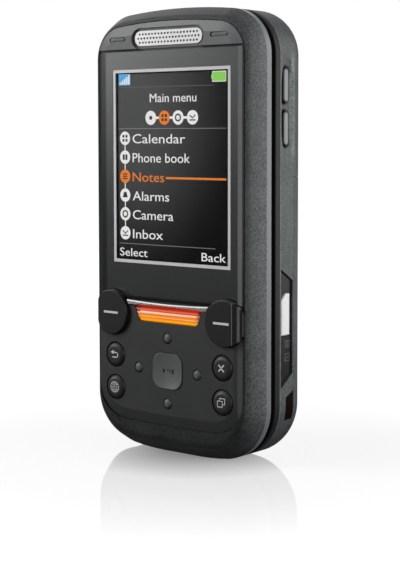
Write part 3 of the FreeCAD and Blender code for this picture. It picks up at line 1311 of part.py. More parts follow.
def scoop_profile(sketch):
    """Half the section along the scoop: straight in the middle, curving out at both ends, and its axis."""
    axis_x = HALF + S.scoop_radius - S.scoop_depth
    floor_x = HALF - S.scoop_depth
    run = S.scoop_reach - S.scoop_straight
    end_radius = value(S.scoop_end_radius)
    end_drop = end_radius - sqrt(end_radius ** 2 - value(run) ** 2)
    ax, fx, z0 = value(axis_x), value(floor_x), value(S.volume_z)
    straight, reach = value(S.scoop_straight), value(S.scoop_reach)
    turn = degrees(atan2(value(run), end_radius - end_drop))
    low = sketch.addGeometry(arc((fx + end_radius, z0 - straight), end_radius, 180, 180 + turn), False)
    middle = sketch.addGeometry(line((fx, z0 + straight), (fx, z0 - straight)), False)
    high = sketch.addGeometry(arc((fx + end_radius, z0 + straight), end_radius, 180 - turn, 180), False)
    top = sketch.addGeometry(line((ax, z0 + reach), (fx + end_drop, z0 + reach)), False)
    bottom = sketch.addGeometry(line((fx + end_drop, z0 - reach), (ax, z0 - reach)), False)
    spine = sketch.addGeometry(line((ax, z0 - reach), (ax, z0 + reach)), False)
    axis = sketch.addGeometry(line((ax, z0 - reach), (ax, z0 + reach)), True)
    for this, following in ((high, middle), (middle, low)):
        sketch.addConstraint(Sketcher.Constraint("Tangent", this, 2, following, 1))
    for this, following in ((top, high), (low, bottom), (bottom, spine), (spine, top)):
        sketch.addConstraint(Sketcher.Constraint("Coincident", this, 2, following, 1))
    for end in (1, 2):
        sketch.addConstraint(Sketcher.Constraint("Coincident", axis, end, spine, end))
    for level in (top, bottom):
        sketch.addConstraint(Sketcher.Constraint("Horizontal", level))
    place(sketch, spine, 1, axis_x, S.volume_z - S.scoop_reach)
    place(sketch, spine, 2, axis_x, S.volume_z + S.scoop_reach)
    place(sketch, middle, 1, floor_x, S.volume_z + S.scoop_straight)
    place(sketch, middle, 2, floor_x, S.volume_z - S.scoop_straight)
    for number in (low, high):
        bind(sketch, Sketcher.Constraint("Radius", number, end_radius), S.scoop_end_radius)


def scoop_out(body):
    """Turn the hollow for the volume keys about an axis outside the right side."""
    groove = body.newObject("PartDesign::Groove", body.Name + "_scoop")
    sketch = new_sketch(body, "Y", S.scoop_y, [scoop_profile])
    groove.Profile = sketch
    groove.ReferenceAxis = (sketch, ["Axis0"])
    groove.Angle = 360
    doc.recompute()


def loud_slots():
    half = S.loud_slot_length / 2
    return [stadium(S.loud_x, S.camera_z + row * S.loud_slot_pitch, half, S.loud_slot_half)
            for row in (-2, -1, 0, 1, 2)]


def flash_outline(gap):
    return rounded(S.flash_x - S.flash_half - gap, S.flash_x + S.flash_half + gap,
                   S.camera_z - S.flash_height / 2 - gap, S.camera_z + S.flash_height / 2 + gap,
                   S.flash_height / 4 + gap)


def make_rear_housing():
    """Main shell of the rear half: side walls, the battery bay's floor and the camera end."""
    body = rear_blank("rear_housing")
    back_inside = S.back_y - S.back_skin
    cut(body, "Y", S.cover_y, S.back_y, rectangle(-S.width, S.width, -S.height, S.cover_top))
    cut(body, "Y", S.bay_y, S.cover_y, rectangle(-S.bay_half, S.bay_half, S.bay_bottom, S.bay_top))
    cut(body, "Y", S.deck_back_y, S.floor_y, phone_outline(S.rear_wall))
    inset = S.camera_bay_inset
    cut(body, "Y", S.floor_y, back_inside,
        bowed_outline(HALF - inset, S.height - inset, S.top_radius - inset, S.top_bow,
                      HEAD_BAY_LOW, S.top_radius - inset, S.bottom_bow, S.foot_half))
    # Camera side
    cut(body, "Y", back_inside, S.back_y, circle(S.camera_x, S.camera_z, S.lens_window - S.lens_seat))
    cut(body, "Y", S.back_y - S.lens_sunk - S.lens_window_thickness, S.back_y,
        circle(S.camera_x, S.camera_z, S.lens_window + S.lens_gap))
    cut(body, "Y", back_inside, S.back_y, flash_outline(S.lens_gap))
    cut(body, "Y", back_inside, S.back_y, *loud_slots())
    # Right side
    scoop_out(body)
    cut(body, "X", CAVITY_X - S.volume_bar, HALF, volume_pad(-1, S.key_gap), volume_pad(1, S.key_gap))
    cut(body, "X", RECESS_X, HALF, recess_outline(0))
    cut(body, "X", CAVITY_X - S.volume_bar, HALF, camera_key_outline(S.key_gap))
    cut(body, "X", HALF - S.infrared_thickness, HALF, infrared_outline(S.infrared_gap))
    # Left side and top
    cut(body, "X", -HALF, -HALF + S.music_dent, music_outline(S.music_dent))
    cut(body, "X", -HALF, -CAVITY_X + S.volume_bar, music_outline(S.key_gap))
    cut(body, "X", -HALF, -CAVITY_X + S.volume_bar,
        rectangle(S.connector_y - S.key_gap, S.connector_back_y + S.key_gap, S.connector_low - S.key_gap,
                  S.connector_high + S.key_gap))
    cut(body, "Z", S.power_flange_z - S.rear_wall, S.height,
        stadium(S.power_x, S.power_y, S.power_reach + S.key_gap, S.power_half + S.key_gap))
    # Posts under the main board, and the screws' holes
    add(body, "Y", MAIN_BOARD_BACK_Y + S.stack_gap, S.floor_y + S.stack_gap,
        *[circle(x, z, S.boss_radius) for x, z in REAR_SCREWS])
    cut(body, "Y", MAIN_BOARD_BACK_Y, S.cover_y,
        *[circle(x, z, S.screw_radius + S.screw_clear) for x, z in REAR_SCREWS])
    cut(body, "Y", S.cover_y - S.head_height - S.head_gap, S.cover_y,
        *[circle(x, z, S.head_radius + S.head_gap) for x, z in REAR_SCREWS])
    return body


def make_side_panel():
    """Dark insert in the side recess, with the camera key's hole."""
    body = new_body("side_panel")
    add(body, "X", RECESS_X, RECESS_X + S.side_panel_thickness, recess_outline(S.side_panel_gap))
    cut(body, "X", RECESS_X, RECESS_X + S.side_panel_thickness, camera_key_outline(S.key_gap))
    return body


def make_infrared_window():
    """Dark window that follows the housing's lower corner."""
    body = new_body("infrared_window")
    add(body, "Y", S.infrared_y, S.infrared_back_y, phone_outline(Size(0.0, "0")))
    keep_between(body, S.infrared_low, S.infrared_high)
    cut(body, "Y", S.infrared_y, S.infrared_back_y,
        rectangle(-S.width, HALF - S.infrared_thickness, S.infrared_low - 1, S.infrared_high + 1))
    cut(body, "X", HALF - S.infrared_thickness, HALF, polygon(
        (S.infrared_y, S.infrared_high - S.infrared_slant), (S.infrared_back_y, S.infrared_high),
        (S.infrared_back_y, S.infrared_high + 1), (S.infrared_y, S.infrared_high + 1)))
    return body


def make_main_circuit_board():
    body = new_body("main_circuit_board")
    half = S.main_board_half
    add(body, "Y", S.main_board_y, MAIN_BOARD_BACK_Y,
        rounded(-half, half, S.main_board_bottom, S.main_board_top, S.main_board_corner))
    cut(body, "Y", S.main_board_y, MAIN_BOARD_BACK_Y,
        *[circle(x, z, S.screw_radius + S.screw_clear) for x, z in REAR_SCREWS])
    add(body, "Y", S.main_board_y - S.dome_height, S.main_board_y,
        *[circle(x, z, S.dome_radius) for x, z in NUMBER_KEYS.values()])
    return body


def make_shield_can():
    """Thin metal box over the radio circuits, open towards the board."""
    body = new_body("shield_can")
    back_y = S.floor_y - S.stack_gap
    add(body, "Y", MAIN_BOARD_BACK_Y, back_y,
        rectangle(-S.can_half, S.can_half, S.can_bottom, S.can_top))
    inner = S.can_half - S.can_sheet
    cut(body, "Y", MAIN_BOARD_BACK_Y, back_y - S.can_sheet,
        rectangle(-inner, inner, S.can_bottom + S.can_sheet, S.can_top - S.can_sheet))
    return body


def make_battery():
    body = new_body("battery")
    add(body, "Y", S.battery_y, S.battery_back_y,
        rounded(-S.battery_half, S.battery_half, S.battery_bottom, S.battery_top, S.battery_round))
    return body


def make_card_holder():
    """Card cage on the battery bay's floor, holding the subscriber card and the memory card end to end."""
    body = new_body("card_holder")
    half = S.card_half
    low, high = S.card_z - S.card_height / 2, S.card_z + S.card_height / 2
    back_y = S.battery_y - S.stack_gap
    add(body, "Y", S.bay_y, back_y, rectangle(S.card_x - half, S.card_x + half, low, high))
    inner = half - S.card_rim
    cut(body, "Y", back_y - S.card_cover, back_y,
        rectangle(S.card_x - inner, S.card_x + inner, low + S.card_rim, high - S.card_rim * 2))
    return body


def make_camera_module():
    body = new_body("camera_module")
    half = S.camera_half
    back_inside = S.back_y - S.back_skin
    add(body, "Y", S.camera_front_y, back_inside - S.lens_sunk,
        rectangle(S.camera_x - half, S.camera_x + half, S.camera_z - half, S.camera_z + half))
    add(body, "Y", back_inside - S.lens_sunk, S.back_y - S.lens_sunk - S.lens_window_thickness - S.lens_gap,
        circle(S.camera_x, S.camera_z, S.camera_barrel))
    return body


def make_camera_window():
    body = new_body("camera_window")
    back_y = S.back_y - S.lens_sunk
    add(body, "Y", back_y - S.lens_window_thickness, back_y, circle(S.camera_x, S.camera_z, S.lens_window))
    return body


def make_flash_led():
    body = new_body("flash_led")
    back_y = S.back_y - S.lens_sunk
    add(body, "Y", back_y - S.flash_depth, back_y, flash_outline(0))
    return body


def make_loudspeaker():
    body = new_body("loudspeaker")
    back_y = S.back_y - S.back_skin - S.stack_gap
    add(body, "Y", S.loud_front_y, back_y,
        rounded(S.loud_x - S.loud_half, S.loud_x + S.loud_half, S.camera_z - S.loud_height / 2,
                S.camera_z + S.loud_height / 2, S.loud_height / 5))
    return body


def make_vibration_motor():
    """Small motor lying on the main board, with a half-round weight on its shaft."""
    body = new_body("vibration_motor")
    middle_y = MAIN_BOARD_BACK_Y + S.stack_gap + S.motor_radius
    left = S.motor_x - S.motor_length / 2
    right = S.motor_x + S.motor_length / 2
    add(body, "X", left, right, circle(middle_y, S.motor_z, S.motor_radius))
    weight = right + S.weight_gap
    add(body, "X", right, weight + S.weight_length, circle(middle_y, S.motor_z, S.motor_shaft))
    add(body, "X", weight, weight + S.weight_length, circle(middle_y, S.motor_z, S.weight_radius))
    cut(body, "X", weight, weight + S.weight_length,
        rectangle(middle_y - S.motor_radius, middle_y + S.motor_radius, S.motor_z + S.motor_shaft,
                  S.motor_z + S.motor_radius))
    return body


def make_system_connector():
    """Flat plug socket in the left side, with a slot along its face."""
    body = new_body("system_connector")
    outside = -HALF + S.connector_sunk
    add(body, "X", outside, outside + S.connector_depth,
        rectangle(S.connector_y, S.connector_back_y, S.connector_low, S.connector_high))
    middle = (S.connector_y + S.connector_back_y) / 2
    cut(body, "X", outside, outside + S.connector_depth / 2,
        rectangle(middle - S.connector_slot / 2, middle + S.connector_slot / 2,
                  S.connector_low + S.connector_slot, S.connector_high - S.connector_slot))
    return body


def make_rear_screws():
    return make_screws("rear_screws", REAR_SCREWS, S.cover_y - S.head_gap, DECK_SKIN_BACK_Y + S.head_gap)


def make_volume_rocker():
    """Two pads on one bar, rocking about a pin between them."""
    body = new_body("volume_rocker")
    bar_out = CAVITY_X - S.volume_swing_gap
    bar_in = bar_out - S.volume_bar
    add(body, "X", bar_in, bar_out,
        stadium(S.volume_y, S.volume_z, S.volume_bar_reach, S.volume_bar_half, upright=True))
    add(body, "X", bar_out, CAVITY_X - S.shoe_gap,
        rectangle(S.volume_y - S.volume_bar_half, S.volume_y + S.volume_bar_half,
                  S.volume_z - S.volume_pin_half, S.volume_z + S.volume_pin_half))
    for side in (-1, 1):
        add(body, "X", bar_out, HALF - S.volume_sunk, volume_pad(side, 0))
    soften(body, S.volume_pad_round, flat_at("X", HALF - S.volume_sunk))
    return body


def make_side_key(name, outline, face_x, side, flange):
    """A key in a side wall: its cap in the hole, and a flange inside the wall."""
    body = new_body(name)
    inside = side * (CAVITY_X - S.shoe_gap * 2)
    low, high = sorted((inside, face_x), key=value)
    add(body, "X", low, high, outline)
    soften(body, S.camera_key_round, flat_at("X", face_x))
    low, high = sorted((inside, inside - side * S.volume_bar), key=value)
    add(body, "X", low, high, flange)
    return body


def make_camera_key():
    past = S.key_flange * 2
    flange = rectangle(S.camera_key_y, S.camera_key_back_y - S.flange_thickness,
                       S.camera_key_low - past, S.camera_key_high + past)
    return make_side_key("camera_key", camera_key_outline(0), HALF - S.camera_key_sunk, 1, flange)


def make_music_key():
    past = S.music_reach + S.key_flange * 2
    flange = rectangle(S.music_y - S.music_half, S.music_y + S.music_half - S.flange_thickness,
                       S.music_z - past, S.music_z + past)
    return make_side_key("music_key", music_outline(0), S.music_sunk - HALF, -1, flange)


def make_power_key():
    body = new_body("power_key")
    flange_high = S.power_flange_z - S.shoe_gap
    add(body, "Z", flange_high, S.power_z,
        stadium(S.power_x, S.power_y, S.power_reach, S.power_half))
    soften(body, S.power_round, flat_at("Z", S.power_z))
    add(body, "Z", flange_high - S.flange_thickness, flange_high,
        stadium(S.power_x, S.power_y, S.power_reach + S.key_flange, S.power_half - S.shoe_gap))
    return body


def make_battery_cover():
    """Back shell over the battery, hooked at its lower edge."""
    outside = rear_blank("battery_cover_outside")
    cut(outside, "Y", S.deck_back_y, S.cover_y + S.cover_gap, rectangle(-S.width, S.width, -S.height, BIG))
    cut(outside, "Y", S.deck_back_y, S.back_y, rectangle(-S.width, S.width, S.cover_top - S.cover_gap, BIG))
    inside = new_body("battery_cover_inside")
    inside_y = S.back_y - S.cover_wall
    add(inside, "Y", S.deck_back_y, inside_y, phone_outline(S.cover_wall))
    soften(inside, S.back_round - S.cover_wall, flat_at("Y", inside_y))
    cover = doc.addObject("Part::Cut", "battery_cover")
    cover.Label = "battery_cover"
    cover.Base = outside
    cover.Tool = inside
    doc.recompute()
    return cover


def make_all():
    """Every sub-part, in the order it would be laid out on a bench."""
    parts = [make_front_cover(), make_earpiece_panel(), make_earpiece_grille(), make_earpiece_speaker(),
             make_display_window(), make_display_frame(), make_display_module(), make_keypad_panel(),
             make_chrome_bar(), make_light_bar(), make_slider_back_cover(), make_slide_rail_plate(),
             make_front_circuit_board(), make_front_screws(),
             make_soft_key("soft_key_left", -1), make_soft_key("soft_key_right", 1)]
    for name, (x, z) in FRONT_KEYS.items():
        parts.append(make_round_key(name, x, z, S.round_radius, S.round_proud, S.round_dome))
    for name, (x, z) in NAVIGATION_KEYS.items():
        parts.append(make_round_key(name, x, z, S.nav_radius, S.nav_proud, S.nav_dome))
    parts.append(make_select_key())
    parts += [make_keypad_deck(), make_slide_carriage(), make_slide_spring(), make_flex_cable(),
              make_rear_housing(), make_side_panel(), make_infrared_window(), make_main_circuit_board(),
              make_shield_can(), make_battery(), make_card_holder(), make_camera_module(),
              make_camera_window(), make_flash_led(), make_loudspeaker(), make_vibration_motor(),
              make_system_connector(), make_rear_screws()]
    for name, (x, z) in NUMBER_KEYS.items():
        parts.append(make_number_key(name, x, z))
    parts += [make_volume_rocker(), make_camera_key(), make_music_key(), make_power_key(),
              make_battery_cover()]
    return parts


def check(parts):
    """Stop if anything in the document failed or a sub-part has no sound solid."""
    for thing in doc.Objects:
        if "Invalid" in thing.State or "Error" in thing.State:
            raise ValueError(f"{thing.Name} is {thing.State}")
    for part in parts:
        shape = part.Shape
        if shape.isNull() or not shape.isValid() or not shape.Solids:
            raise ValueError(f"{part.Label} has no sound solid")


def main():
    parts = make_all()
    doc.recompute()
    check(parts)
    os.makedirs("parts", exist_ok=True)
    for part in parts:
        part.Shape.exportStep(f"parts/{part.Label}.step")
        box = part.Shape.BoundBox
        print(f"{part.Label:22s} solids {len(part.Shape.Solids)}  volume {part.Shape.Volume:9.2f}  "
              f"X {box.XMin:7.2f} {box.XMax:7.2f}  Y {box.YMin:7.2f} {box.YMax:7.2f}  "
              f"Z {box.ZMin:7.2f} {box.ZMax:7.2f}")


main()
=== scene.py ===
import json
import math
from collections import namedtuple

import bpy
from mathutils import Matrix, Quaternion, Vector
from mathutils.bvhtree import BVHTree


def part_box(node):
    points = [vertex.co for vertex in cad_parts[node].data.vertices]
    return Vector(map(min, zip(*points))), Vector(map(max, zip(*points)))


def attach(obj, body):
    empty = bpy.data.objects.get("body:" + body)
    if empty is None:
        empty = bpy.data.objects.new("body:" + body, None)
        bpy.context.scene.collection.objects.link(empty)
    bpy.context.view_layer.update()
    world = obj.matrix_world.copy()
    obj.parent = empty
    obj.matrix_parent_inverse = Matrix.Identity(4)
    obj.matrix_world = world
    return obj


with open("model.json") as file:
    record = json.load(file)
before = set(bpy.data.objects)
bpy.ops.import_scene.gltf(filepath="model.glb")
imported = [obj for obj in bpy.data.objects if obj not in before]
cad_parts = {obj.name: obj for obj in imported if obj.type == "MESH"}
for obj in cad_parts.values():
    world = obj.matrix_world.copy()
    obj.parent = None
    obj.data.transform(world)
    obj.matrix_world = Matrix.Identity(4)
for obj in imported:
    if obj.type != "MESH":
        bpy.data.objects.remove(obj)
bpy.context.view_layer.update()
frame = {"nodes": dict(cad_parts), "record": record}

MM = 0.001
FRONT = "front_half"
REAR = "rear_half"

# ---------------------------------------------------------------------------
# Places taken from the frame, in mm
# ---------------------------------------------------------------------------


class Extent:
    """A node's box at rest, in mm."""

    def __init__(self, node):
        low, high = (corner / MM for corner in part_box(node))
        self.left, self.front, self.low = low
        self.right, self.back, self.high = high
        self.middle = (low + high) / 2


HOUSING = Extent("front_cover")
SHELL = Extent("rear_housing")
WINDOW = Extent("display_window")
BORDER = Extent("display_frame")
LIGHT = Extent("light_bar")
LENS = Extent("camera_window")
BATTERY = Extent("battery")
SOFT_KEY = Extent("soft_key_right")
VOLUME = Extent("volume_rocker")
GLASS = Extent("display_module").front
SIDE_FACE = Extent("side_panel").right
BETWEEN_PANELS = (Extent("keypad_panel").high + Extent("earpiece_panel").low) / 2

SCREEN_HALF = BORDER.right - 1.35
SCREEN_LOW = BORDER.low + 1.05
SCREEN_TOP = BORDER.high - 1.05

PAD_ROUND = (VOLUME.back - VOLUME.front) / 2
PAD_REACH = (VOLUME.high - VOLUME.low) / 2
PAD_GAP = 0.75                                  # half the gap between the two volume pads
PAD_MIDDLE = (PAD_REACH + PAD_GAP) / 2
PAD_RUN = (PAD_REACH - PAD_GAP) / 2 - PAD_ROUND    # half the straight part of a pad's middle line

# ---------------------------------------------------------------------------
# Shader nodes
# ---------------------------------------------------------------------------

X, Y, Z = range(3)
MIX_FACTOR, MIX_ONE, MIX_TWO, MIX_RESULT = 0, 6, 7, 2    # a colour mix's sockets, whose names repeat
NOISE_LOW, NOISE_HIGH = 0.3, 0.7                         # nearly all of a noise lies between these


class Shader:
    """A material's or the world's node tree, with short calls for the nodes it uses."""

    def __init__(self, owner, output="ShaderNodeOutputMaterial"):
        self.owner = owner
        owner.use_nodes = True
        self.tree = owner.node_tree
        self.tree.nodes.clear()
        self.output = self.node(output)

    def node(self, kind, inputs=None, **settings):
        made = self.tree.nodes.new(kind)
        for key, value in settings.items():
            setattr(made, key, value)
        for key, value in (inputs or {}).items():
            self.put(made.inputs[key], value)
        return made

    def put(self, socket, value):
        if isinstance(value, bpy.types.NodeSocket):
            self.tree.links.new(value, socket)
        elif isinstance(value, tuple) and len(value) == 3 and socket.type == "RGBA":
            socket.default_value = (*value, 1.0)
        else:
            socket.default_value = value

    def place(self):
        """The point being shaded, in metres in the phone's own frame."""
        return self.node("ShaderNodeTexCoord").outputs["Object"]

    def axes(self):
        """X, Y and Z of that point, in metres."""
        return tuple(self.node("ShaderNodeSeparateXYZ", {"Vector": self.place()}).outputs)

    def calc(self, operation, *values, clamp=False):
        made = self.node("ShaderNodeMath", operation=operation, use_clamp=clamp)
        for index, value in enumerate(values):
            self.put(made.inputs[index], value)
        return made.outputs[0]

    def product(self, *values):
        """All the values multiplied."""
        result = values[0]
        for value in values[1:]:
            result = self.calc("MULTIPLY", result, value)
        return result

    def distance(self, one, two):
        """The length of a line that goes one along and two across."""
        return self.calc("SQRT", self.calc("ADD", self.product(one, one), self.product(two, two)))

    def ramp(self, value, low, high, start=0.0, end=1.0, smooth=True):
        """start where value is low, end where it is high, and a soft step between."""
        kind = "SMOOTHSTEP" if smooth else "LINEAR"
        made = self.node("ShaderNodeMapRange", interpolation_type=kind)
        for index, number in enumerate((value, low, high, start, end)):
            self.put(made.inputs[index], number)
        return made.outputs[0]

    def inside(self, value, low, high, soft):
        """1 between low and high and 0 outside, with a step as wide as soft on either side of both."""
        rise = self.ramp(value, low - soft, low + soft)
        fall = self.ramp(value, high - soft, high + soft, 1.0, 0.0)
        return self.calc("MULTIPLY", rise, fall)

    def ramp_mm(self, value, low, high, *ends, **settings):
        return self.ramp(value, low * MM, high * MM, *ends, **settings)

    def inside_mm(self, value, low, high, soft):
        return self.inside(value, low * MM, high * MM, soft * MM)

    def noise(self, per_mm, detail=2.0, roughness=0.5, vector=None):
        """Smooth noise with this many grains to a millimetre."""
        inputs = {"Scale": per_mm / MM, "Detail": detail, "Roughness": roughness,
                  "Vector": vector or self.place()}
        return self.node("ShaderNodeTexNoise", inputs).outputs[0]

    def gloss(self, pattern, low, high):
        """A roughness that varies between low and high with the pattern."""
        return self.ramp(pattern, NOISE_LOW, NOISE_HIGH, low, high)

    def mix(self, factor, one, two):
        made = self.node("ShaderNodeMix", data_type="RGBA")
        self.put(made.inputs[MIX_FACTOR], factor)
        self.put(made.inputs[MIX_ONE], one)
        self.put(made.inputs[MIX_TWO], two)
        return made.outputs[MIX_RESULT]

    def bump(self, height, strength, depth_mm):
        inputs = {"Height": height, "Strength": strength, "Distance": depth_mm * MM}
        return self.node("ShaderNodeBump", inputs).outputs[0]

    def stretched(self, scale):
        """The point being shaded, with each axis scaled, for a pattern drawn out along the smallest."""
        return self.node("ShaderNodeMapping", {"Vector": self.place(), "Scale": scale}).outputs[0]

    def finish(self, shader):
        self.put(self.output.inputs["Surface"], shader)
        return self.owner

    def principled(self, **inputs):
        named = {key.replace("_", " "): value for key, value in inputs.items()}
        return self.finish(self.node("ShaderNodeBsdfPrincipled", named).outputs[0])


def new_shader(name):
    return Shader(bpy.data.materials.new(name))


def grey(level, tint=0.0):
    """A near-neutral colour from its level on a screen, 0 to 255, slightly cold with tint."""
    value = linear(level)
    return (value * (1.0 - 2.0 * tint), value, value * (1.0 + 0.5 * tint))


def linear(level):
    part = level / 255.0
    return part / 12.92 if part <= 0.04045 else ((part + 0.055) / 1.055) ** 2.4


def rgb(red, green, blue):
    return (linear(red), linear(green), linear(blue))


# ---------------------------------------------------------------------------
# Materials
# ---------------------------------------------------------------------------


def grained_plastic(name, colour, roughness, grain_per_mm, grain_depth, fleck=0.10, sheen=0.5, tones=None):
    """Moulded or painted plastic with a fine grain: speckled colour, uneven gloss and bump.

    tones, if given, takes the shader and the plain colour, and gives the colour at each place.
    """
    shader = new_shader(name)
    fine = shader.noise(grain_per_mm, 3.0, 0.6)
    broad = shader.noise(0.18)
    tone = shader.calc("ADD", shader.product(fine, 0.8), shader.product(broad, 0.2))
    plain = tones(shader, colour) if tones else colour
    speck = shader.ramp(tone, 0.35, 0.65, 1.0 - fleck, 1.0 + fleck)
    scaled = shader.node("ShaderNodeVectorMath", {0: plain}, operation="SCALE")
    shader.put(scaled.inputs["Scale"], speck)
    return shader.principled(
        Base_Color=scaled.outputs[0],
        Roughness=shader.gloss(tone, roughness - 0.05, roughness + 0.06),
        Specular_IOR_Level=sheen,
        Normal=shader.bump(fine, 0.6, grain_depth))


Band = namedtuple("Band", "axis low high at_low at_high colour")


def banded(shader, colour, bands):
    """Mixes in each band's colour; its share goes from at_low to at_high between low and high, in mm."""
    for band in bands:
        share = shader.ramp_mm(shader.axes()[band.axis], band.low, band.high, band.at_low, band.at_high)
        colour = shader.mix(share, colour, band.colour)
    return colour


def housing_light_shade_and_seam(shader, colour):
    """Painted light and shade: paler towards the rim's back where the light falls, painted shade in the
    groove in front and at both ends; and a short seam in the chin.
    """
    across, depth, up = shader.axes()
    # Painted highlight: the paler rim back. Painted shade: the dark band at the front groove and the darker
    # bottom and top.
    rim = banded(shader, colour, (
        Band(Y, HOUSING.front + 0.75, HOUSING.back + 0.6, 0.0, 1.0, grey(92, 0.04)),
        Band(Y, HOUSING.front + 0.15, HOUSING.front + 0.65, 0.7, 0.0, grey(10)),
        Band(Z, 2, 16, 0.55, 0.0, grey(30, 0.02)),
        Band(Z, HOUSING.high - 8, HOUSING.high - 1, 0.0, 0.5, grey(32, 0.02))))
    seam = shader.product(shader.inside_mm(across, -14.6, -14.35, 0.06),
                          shader.ramp_mm(up, 6.5, 7.0, 1.0, 0.0))
    return shader.mix(shader.product(seam, 0.8), rim, grey(14))


def panel_tones_and_highlight(shader, colour):
    """The panel round the earpiece is paler than the one round the keys, whose right side has a painted
    highlight line.
    """
    # grey(64) here is a painted highlight along the bevelled right side.
    highlighted = shader.mix(painted_highlight_line(shader), colour, grey(64, 0.02))
    return banded(shader, highlighted, [Band(Z, BETWEEN_PANELS - 1, BETWEEN_PANELS, 0.0, 1.0, grey(82, 0.02))])


def volume_pads(shader):
    """How far each place is from the volume pads' middle lines, and 1 on the phone's right side."""
    across, depth, up = shader.axes()
    along = shader.calc("ABSOLUTE", shader.calc("SUBTRACT", up, VOLUME.middle.z * MM))
    along = shader.calc("ABSOLUTE", shader.calc("SUBTRACT", along, PAD_MIDDLE * MM))
    along = shader.calc("MAXIMUM", shader.calc("SUBTRACT", along, PAD_RUN * MM), 0.0)
    aside = shader.calc("SUBTRACT", depth, VOLUME.middle.y * MM)
    return shader.distance(along, aside), shader.ramp_mm(across, 19.0, 19.1)


def rear_painted_light(shader, colour):
    """Painted light and shade: a painted highlight on the front edge, painted shade on the back and at both
    ends, a painted highlight in the scoop, and painted shade in dark lines round the volume pads.
    """
    away, right = volume_pads(shader)
    depth, up = shader.axes()[Y:]
    # Painted highlight on the front edge; painted shade on the back, the top and the bottom.
    colour = banded(shader, colour, (
        Band(Y, SHELL.front + 0.2, SHELL.front + 0.45, 0.6, 0.0, grey(104, 0.03)),
        Band(Y, SHELL.back - 5.9, SHELL.back - 2.9, 0.0, 0.55, grey(36, 0.02)),
        Band(Z, SHELL.high - 14, SHELL.high - 1, 0.0, 0.5, grey(40, 0.02)),
        Band(Z, 2, 18, 0.5, 0.0, grey(36, 0.02))))
    # A painted highlight in the scoop behind the volume pads.
    scoop_highlight = shader.product(shader.inside_mm(depth, VOLUME.back + 0.6, VOLUME.back + 1.7, 0.4),
                           shader.inside_mm(up, VOLUME.low - 2.0, VOLUME.high + 2.2, 1.5), right, 0.9)
    colour = shader.mix(scoop_highlight, colour, grey(110, 0.03))
    # Dark lines round the pads: painted shade in their gaps.
    ring = shader.ramp_mm(away, PAD_ROUND + 0.35, PAD_ROUND + 0.6, 1.0, 0.0)
    return shader.mix(shader.product(ring, right), colour, grey(16))


def side_key_painted_light(shader, colour):
    """Painted light and shade on the volume pads: painted shade on their edges and a painted highlight on
    their crown.
    """
    away, right = volume_pads(shader)
    # Pale crown: painted highlight; dark edges: painted shade.
    crown_highlight_and_edge_shade = shader.mix(shader.ramp_mm(away, 0.4, 0.85), grey(124, 0.03), grey(20, 0.02))
    return shader.mix(right, colour, crown_highlight_and_edge_shade)


def key_tones_and_highlights(shader, colour):
    """Near-black soft keys, the right one with painted highlight lines on its bevel, and paler keys in the
    middle.
    """
    across, depth, up = shader.axes()
    aside = shader.calc("ABSOLUTE", across)
    soft = shader.product(shader.ramp_mm(aside, SOFT_KEY.left - 0.15, SOFT_KEY.left - 0.05),
                          shader.ramp_mm(up, SOFT_KEY.low - 0.15, SOFT_KEY.low - 0.05))
    edge = SOFT_KEY.right
    # Painted highlights: two pale lines on the right soft key's bevel.
    bevel_highlight = shader.calc("MAXIMUM", shader.inside_mm(across, edge - 2.25, edge - 2.05, 0.06),
                         shader.inside_mm(across, edge - 1.1, edge - 0.55, 0.08))
    colour = shader.mix(bevel_highlight, colour, grey(96))
    soft = shader.calc("SUBTRACT", soft, shader.product(bevel_highlight, 0.8), clamp=True)
    middle = shader.ramp_mm(aside, SOFT_KEY.left - 0.35, SOFT_KEY.left - 0.25, 1.0, 0.0)
    return shader.mix(middle, shader.mix(soft, colour, grey(22, 0.01)), grey(78, 0.02))


def make_front_housing():
    return grained_plastic("front_housing", grey(66, 0.04), roughness=0.38, grain_per_mm=2.7,
                           grain_depth=0.016, fleck=0.52, sheen=0.28, tones=housing_light_shade_and_seam)


def make_front_panel():
    return grained_plastic("front_panel", grey(42, 0.02), roughness=0.36, grain_per_mm=4.0, grain_depth=0.004,
                           tones=panel_tones_and_highlight)


def make_key():
    return grained_plastic("key", grey(36, 0.01), roughness=0.33, grain_per_mm=5.0, grain_depth=0.003,
                           fleck=0.06, sheen=0.4, tones=key_tones_and_highlights)


def make_deck():
    return grained_plastic("deck", grey(25, 0.01), roughness=0.46, grain_per_mm=3.0, grain_depth=0.006,
                           sheen=0.2)


def make_number_key():
    return grained_plastic("number_key", grey(70, 0.02), roughness=0.38, grain_per_mm=4.0, grain_depth=0.004,
                           fleck=0.08)


def make_rear_shell():
    return grained_plastic("rear_shell", grey(76, 0.04), roughness=0.44, grain_per_mm=2.5, grain_depth=0.016,
                           fleck=0.42, sheen=0.25, tones=rear_painted_light)


def make_side_key():
    return grained_plastic("side_key", grey(80, 0.02), roughness=0.36, grain_per_mm=4.0, grain_depth=0.004,
                           fleck=0.08, sheen=0.25, tones=side_key_painted_light)


# A paler grey than the housing: a painted highlight along this band.
def make_light_band():
    return grained_plastic("light_band", grey(100, 0.03), roughness=0.34, grain_per_mm=3.2, grain_depth=0.006,
                           fleck=0.08)


def make_silver_key():
    return grained_plastic("silver_key", grey(206), roughness=0.30, grain_per_mm=5.0, grain_depth=0.002,
                           fleck=0.03)


def make_component():
    return grained_plastic("component", grey(42), roughness=0.5, grain_per_mm=3.0, grain_depth=0.006,
                           fleck=0.12)


def make_side_trim():
    return grained_plastic("side_trim", grey(20, 0.01), roughness=0.32, grain_per_mm=5.0, grain_depth=0.002,
                           fleck=0.06, sheen=0.2)


def make_board():
    return grained_plastic("board", rgb(18, 78, 48), roughness=0.35, grain_per_mm=2.5, grain_depth=0.004,
                           fleck=0.15)


def make_flex():
    return grained_plastic("flex", rgb(190, 110, 34), roughness=0.28, grain_per_mm=2.0, grain_depth=0.003)


